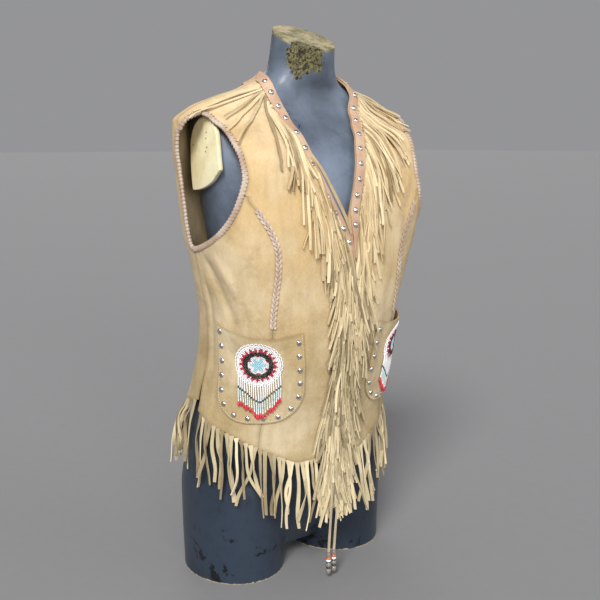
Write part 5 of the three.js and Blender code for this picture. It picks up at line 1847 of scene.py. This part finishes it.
# ---------- fringe
@dataclass
class Strands:
    """A batch of hanging strands, with one entry for each in every array."""

    girth: Array
    z: Array
    tilt: Array                 # degrees from straight down
    length: Array
    out: Array                  # of the middle line from the cloth
    half: Array                 # half width
    rng: np.random.Generator
    drift: float                # mm that the tips lean aside
    curl: float                 # mm that a strand waves
    twist: float                # radians
    swing: float = 4.0          # mm that the tips stand off
    thick: float = 1.5
    rings: int = 16
    root_half: Array | None = None

    def parcel(self, side: Side) -> Parcel:
        """Hang every strand over the surface, leaning, curling and twisting by its own lot.

        Args:
            side: the wearer's side whose girth angles are used.

        Returns:
            The strands, each closed.
        """
        count = len(self.girth)
        t = np.linspace(0, 1, self.rings)[None]
        sign = side.sign
        tilt = np.radians(self.tilt)[:, None, None] * sign
        spin = np.radians(np.where(np.cos(np.radians(self.girth)) < 0, 180.0, 0.0))[:, None, None]
        tilt = tilt * np.cos(spin)
        heading = np.concatenate([np.sin(tilt), 0 * tilt, -np.cos(tilt)], axis=-1)
        girth, z = VEST.slide(sign * self.girth[:, None], self.z[:, None], heading,
                              self.length[:, None] * t, 6)
        lot = self.rng.standard_normal((5, count, 1))
        phase = self.rng.uniform(0, 2 * np.pi, (3, count, 1))
        lean = self.drift * lot[0] * t ** 2
        wave = self.curl * (0.6 + 0.4 * lot[1]) * smooth(t * 1.4 - 0.2) * np.sin(
            (4.2 + lot[2]) * t + phase[0])
        around = unit(VEST.frame(girth, z)[0])
        girth, z = VEST.slide(girth, z, around, lean + wave, 1)
        turn = self.twist * lot[3] * smooth(t * 1.15) + 0.25 * np.sin(5 * t + phase[1]) * t
        root = np.minimum(1.0, 3.5 * t)
        away = (self.out[:, None] + self.half[:, None] * np.abs(np.sin(turn)) * 0.9
                + self.swing * np.abs(lot[4]) * 0.5 * t ** 2
                + 1.2 * np.sin(6 * t + phase[2]) * t)
        floor = self.thick / 2 + 0.2
        away = floor + (np.maximum(away, floor) - floor) * root
        if self.root_half is not None:
            away = away - (floor + self.thick / 2) * (1 - root)
        centre = VEST.face(side, sign * girth, z, away)
        normal = VEST.frame(girth, z)[2]
        along = unit(np.gradient(centre, axis=1))
        across = unit(np.cross(along, normal))
        face = np.cross(across, along)
        cos, sin = np.cos(turn)[..., None], np.sin(turn)[..., None]
        half = self.half[:, None] * (1 + 0.06 * np.sin(9 * t + phase[0]))
        if self.root_half is not None:
            neck = smooth(t / 0.09)
            half = self.root_half[:, None] * (1 - neck) + half * neck
        half = half * (1 - 0.12 * smooth((t - 0.9) / 0.1))
        return ribbons(centre, across * cos + face * sin, face * cos - across * sin, half,
                       self.thick / 2)


# Slant of the strands in degrees, by the run in mm from the shoulder down the edge.
SHOULDER_TILT = {
    Side.RIGHT: Profile(((0, 86), (8, 76), (14, 50), (20, 22), (30, 8), (60, -3), (150, -6),
                         (260, -4), (620, -1))),
    Side.LEFT: Profile(((0, 74), (9, 60), (18, 40), (30, 24), (46, 14), (70, 9), (110, 8),
                        (200, 5), (300, 2), (620, 0))),
}


@dataclass(frozen=True)
class FrontFringe(Sided):
    """The layered fringe beside one neck band, from the shoulder down to the hem."""

    top: float = 742.0
    foot: float = 92.0
    length: float = 124.0
    spacing: float = 5.4

    def edge(self, level: Number) -> Array:
        """Girth of the band's inner edge; the left front's runs on below the band's point."""
        if self.side is Side.RIGHT:
            return RIGHT_NECK_EDGE(level)
        return np.maximum(LEFT_BAND_EDGE(level), LEFT_NECK_EDGE(level))

    def offset(self, level: Array) -> Array:
        """Distance of the roots from that edge."""
        if self.side is Side.RIGHT:
            return np.full(np.shape(level), BAND_WIDTH + 1.2)
        return BAND_WIDTH + 3.4 - 9 * (1 - smooth((level - 470) / 110))

    def roots(self, spacing: float, start: float, high: float) -> tuple[Array, Array]:
        """Evenly spaced levels down the edge from a height at most, and their runs."""
        level = np.arange(self.top, HEM_LEVEL + 4, -0.5)
        run = runs(VEST.point(self.side.sign * self.edge(level), level))
        at = np.arange(start, run[-1] - 2, spacing)
        found = np.interp(at, run, level)
        keep = found <= high
        return found[keep], at[keep]

    def layer(self, rng: np.random.Generator, spacing: float, start: float, shift: float,
              out: float, high: float = 800.0, lean: float = 0.0) -> Parcel:
        """Hang one layer of strands.

        Args:
            rng: source of their unevenness.
            spacing: distance between roots along the edge.
            start: run of the first root.
            shift: how far the roots lie from the fringe's usual line.
            out: how far out this layer lies.
            high: highest root.
            lean: degrees added to the slant.

        Returns:
            The layer's strands.
        """
        level, run = self.roots(spacing, start, high)
        count = len(level)
        girth, z = VEST.beside(self.side, self.edge, level, self.offset(level) + shift)
        tilt = SHOULDER_TILT[self.side](run) + lean + 5.0 * rng.standard_normal(count)
        length = self.length * rng.uniform(0.72, 1.1, count)
        to_foot = (level - self.foot) / np.cos(np.radians(np.clip(tilt, -60, 60)))
        length = np.minimum(length, to_foot)
        lift, half = out + rng.uniform(0, 0.8, count), rng.uniform(1.3, 2.3, count)
        return Strands(girth, z, tilt, length, lift, half, rng, drift=8.0, curl=3.2,
                       twist=0.9).parcel(self.side)

    def build(self) -> Piece:
        """Hang two layers all the way, and more below the V where both fronts' fringes meet."""
        rng = np.random.default_rng(11 if self.side is Side.LEFT else 23)
        parts = [self.layer(rng, self.spacing, 3, 0.0, 1.4),
                 self.layer(rng, self.spacing * 1.15, 5.5, 1.6, 3.2),
                 self.layer(rng, 5.0, 0, 1.0, 5.2, high=545, lean=4)]
        if self.side is Side.RIGHT:
            parts += [self.layer(rng, 5.6, 2, -11.0, 4.4, high=655, lean=-3),
                      self.layer(rng, 6.4, 4, -6.0, 6.0, high=600, lean=2)]
        else:
            parts += [self.layer(rng, 6.0, 2, -5.0, 4.6, high=500, lean=8)]
        return self.dress("suede_front_fringe", Parcel.joined(parts), FRINGE_SUEDE,
                          "front_fringe")


@dataclass(frozen=True)
class HemFringe:
    """Fringe cut down from a panel's hem: strands with narrow gaps that part and cross below."""

    node: str
    side: Side
    start: float
    end: float
    spacing: float = 7.8
    length: float = 102.0
    slant: float = 11.0         # most degrees that a strand leans of itself
    sway: float = 9.0           # and with its neighbours

    def hem(self, girth: Array) -> Array:
        """Height of the hem at a girth angle, of the back's hem past the side seams."""
        around = np.minimum(np.abs(girth), 360 - np.abs(girth))
        return np.where(around > SIDE_SEAM, BACK_HEM(around), FRONT_HEM(around))

    def build(self) -> Piece:
        """Space the strands along the hem and hang them with their roots edge to edge."""
        fine = np.arange(self.start, self.end, 0.05)
        run = runs(VEST.point(self.side.sign * fine, self.hem(fine)))
        count = int(run[-1] / self.spacing)
        gap = run[-1] / count
        girth = np.interp((np.arange(count) + 0.5) * gap, run, fine)
        rng = np.random.default_rng(31 + count + (3 if self.side is Side.LEFT else 0))
        tilt = self.sway * np.sin(np.arange(count) * 0.83 + 1) * rng.uniform(0.2, 1, count)
        tilt = tilt + rng.uniform(-self.slant, self.slant, count)
        length = self.length * rng.uniform(0.76, 1.1, count)
        out, half = rng.uniform(0.8, 4.4, count), rng.uniform(1.8, 2.8, count)
        strands = Strands(girth, self.hem(girth) + GAP, tilt, length, out, half, rng, drift=9.5,
                          curl=6.0, twist=2.0, swing=9.0, rings=24,
                          root_half=np.full(count, gap / 2))
        return dress(f"suede_{self.node}", strands.parcel(self.side), FRINGE_SUEDE,
                     [self.node], 50)


# ---------- ties
@dataclass(frozen=True)
class BeadedTie(Sided):
    """A flat thong that hangs from one front edge, with a stack of beads on its end."""

    half: float = 1.9
    thick: float = 1.6
    foot: float = 8.0

    def course(self) -> Array:
        """Points down the thong, each before the garment's face by a set distance."""
        rows = {Side.RIGHT: ((222, -1, 0), (197, -1, 0), (168, -4, 5), (110, -9, 8), (44, -14, 8)),
                Side.LEFT: ((216, 13.5, 0), (197, 13, 0), (170, 11.5, 8), (110, 4, 11),
                            (44, -2, 11))}[self.side]
        low_first = rows[::-1]
        z = np.linspace(rows[0][0], rows[-1][0], 60)
        x = Profile(tuple((row[0], row[1]) for row in low_first))(z)
        away = Profile(tuple((row[0], row[2]) for row in low_first))(z)
        face = 0.0 if self.side is Side.LEFT else OVERLAP_LIFT + 2.5
        y = VEST.point(0.0, z)[:, 1] - face - 0.5 - self.thick / 2 - away
        return np.stack([x, y, z], axis=-1)

    def beads(self, foot: Array) -> Parcel:
        """Stack turned beads up the thong's end, from the bell at its foot to the cap."""
        stack = (
            (((0, 0), (1.6, 0.0), (3.3, 1.2), (4.1, 4.2), (3.9, 7.5), (2.4, 9.3), (0, 9.5)),
             Glass.SILVER),
            (((0, 0), (3.0, 0), (3.5, 1.0), (3.0, 2.1), (0, 2.1)), Glass.BLACK),
            (((0, 0), (2.6, 0), (4.1, 2.0), (4.1, 4.8), (2.6, 6.8), (0, 6.8)), Glass.SILVER),
            (((0, 0), (2.9, 0), (3.3, 0.9), (2.9, 1.8), (0, 1.8)), Glass.BLACK),
            (((0, 0), (2.7, 0), (3.7, 1.7), (2.7, 3.4), (0, 3.4)), Glass.WHITE),
            (((0, 0), (2.6, 0), (3.9, 1.5), (3.9, 3.5), (2.6, 5.0), (0, 5.0)), Glass.COPPER),
            (((0, 0), (3.0, 0), (3.7, 1.6), (2.9, 4.4), (2.3, 7.1), (0, 7.1)), Glass.SILVER),
        )
        parts = []
        low = self.foot
        for profile, glass in stack:
            bead = turned(profile, 20)
            bead.vertices = bead.vertices + np.array([foot[0], foot[1], low])
            bead.marks = {"tint": np.broadcast_to(glass.value, (len(bead.vertices), 4))}
            parts.append(bead)
            low += profile[-1][1]
        return Parcel.joined(parts)

    def build(self) -> None:
        path = self.course()
        along = unit(np.gradient(path, axis=0))
        wide = np.broadcast_to([1.0, 0.0, 0.0], path.shape)
        turn = 0.35 * np.sin(np.linspace(0, 7, len(path)))[:, None]
        flat = unit(np.cross(along, wide))
        across = wide * np.cos(turn) + flat * np.sin(turn)
        strip = ribbons(path[None], across[None], np.cross(across, along)[None],
                        self.half, self.thick / 2)
        thong = self.dress("tie_thong_suede", strip, TIE_LEATHER, "tie_thong")
        beads = self.dress("tie_bead_stack", self.beads(path[-1]), BEADS, "tie_beads")
        line = path * MM
        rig.cord(thong, exit=line[0], length=float(runs(line)[-1]), diameter=2 * self.half * MM,
                far_end="fitting", stiffness="limp", lay="hanging", path=line.tolist(),
                with_pieces=[beads])


# ---------- studio
PART_MIDDLE = (0.0, -0.02, 0.42)


@dataclass(frozen=True)
class Lamp:
    """A far soft light: it lights the floor evenly and its width in degrees softens shadows."""

    name: str
    place: tuple[float, float, float]
    width: float
    power: float
    colour: tuple[float, float, float] = (1.0, 1.0, 1.0)

    def build(self) -> None:
        """Hang the light and turn it to the part's middle."""
        data = bpy.data.lights.new(self.name, "SUN")
        data.angle, data.energy, data.color = np.radians(self.width), self.power, self.colour
        aimed(self.name, data, self.place, PART_MIDDLE)


@dataclass(frozen=True)
class Studio:
    """Pale floor that runs into the backdrop unseen, soft lights and the camera."""

    eye: tuple[float, float, float] = (-0.772, -1.09325, 0.658)
    target: tuple[float, float, float] = (0.00445, -0.02545, 0.418)
    lens: float = 51.87
    floor_half: float = 60.0
    lamps: tuple[Lamp, ...] = (
        Lamp("key", (-1.5, -1.4, 2.1), 20.0, 3.25, (1.0, 0.985, 0.96)),
        Lamp("front", (-0.6, -2.0, 0.8), 26.0, 1.16, (1.0, 0.99, 0.97)),
        Lamp("fill", (1.4, -1.7, 0.9), 50.0, 0.54, (0.96, 0.98, 1.0)),
        Lamp("rear", (0.9, 1.9, 1.6), 40.0, 0.78),
    )

    def build(self) -> None:
        """Set up everything that isn't part of the vest."""
        scene = bpy.context.scene
        scene.view_settings.view_transform = "Standard"
        world = bpy.data.worlds.new("studio")
        world.use_nodes = True
        ground = world.node_tree.nodes["Background"]
        ground.inputs["Color"].default_value = linear("959597")
        ground.inputs["Strength"].default_value = 1.0
        scene.world = world
        for lamp in self.lamps:
            lamp.build()
        floor = bpy.data.meshes.new("floor")
        half = self.floor_half
        floor.from_pydata([(-half, -half, 0), (half, -half, 0), (half, half, 0), (-half, half, 0)],
                          [], [(0, 1, 2, 3)])
        floor.materials.append(FLOOR.material())
        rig.stage(placed("floor", floor))
        data = bpy.data.cameras.new("camera")
        data.lens, data.sensor_width = self.lens, 36.0
        scene.camera = aimed("camera", data, self.eye, self.target)


def declare(panels: dict[str, tuple[Piece, Array]],
            on: dict[str, list[Piece]]) -> None:
    """Declare every panel and pocket as cloth, with its measured cut.

    Args:
        panels: pieces and the grids of their outer faces.
        on: for each of them, the pieces sewn to it.
    """
    for node, (piece, outer) in panels.items():
        flat, area = cut_size(outer)
        rests = "suede_" + node.replace("pocket", "front_centre")
        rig.sheet(piece, flat=flat, held="hung", area=area,
                 rests_on=[rests if node.startswith("pocket") else "dress_form"],
                 with_pieces=on.get(node, []))


def main() -> None:
    logging.basicConfig(level=logging.INFO, format="%(name)s %(message)s")
    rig.load()
    cad_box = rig.bounds()
    DressForm().build()
    for side in Side:
        ArmPlate(side).build()
    cloth = Panels().build()
    on: dict[str, list[Piece]] = {"back": [back_neck_band()]}
    on["back"].append(HemFringe("hem_fringe_back", BACK, 94.2, 265.8).build())
    for side in Side:
        tag = side.tag
        hem = HemFringe(f"hem_fringe_{tag}", side, -2.5, 85.5).build()
        on[f"front_centre_{tag}"] = [*NeckBand(side).build(), FrontFringe(side).build(),
                                     SeamLacing(side).build(), hem]
        on[f"front_side_{tag}"] = [ArmholeBinding(side).build()]
        pocket = Pocket(side)
        patch, outer, trims = pocket.build()
        cloth[f"pocket_{tag}"] = (patch, outer)
        on[f"pocket_{tag}"] = [*trims, Rosette(pocket).build()]
        BeadedTie(side).build()
    declare(cloth, on)
    Studio().build()
    with open(SIZE_FILE, "w", encoding="utf-8") as file:
        json.dump({"cad": [list(map(float, part)) for part in cad_box],
                   "visual": [list(map(float, part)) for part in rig.bounds()]}, file)
    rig.finish()


if __name__ == "__main__":
    main()
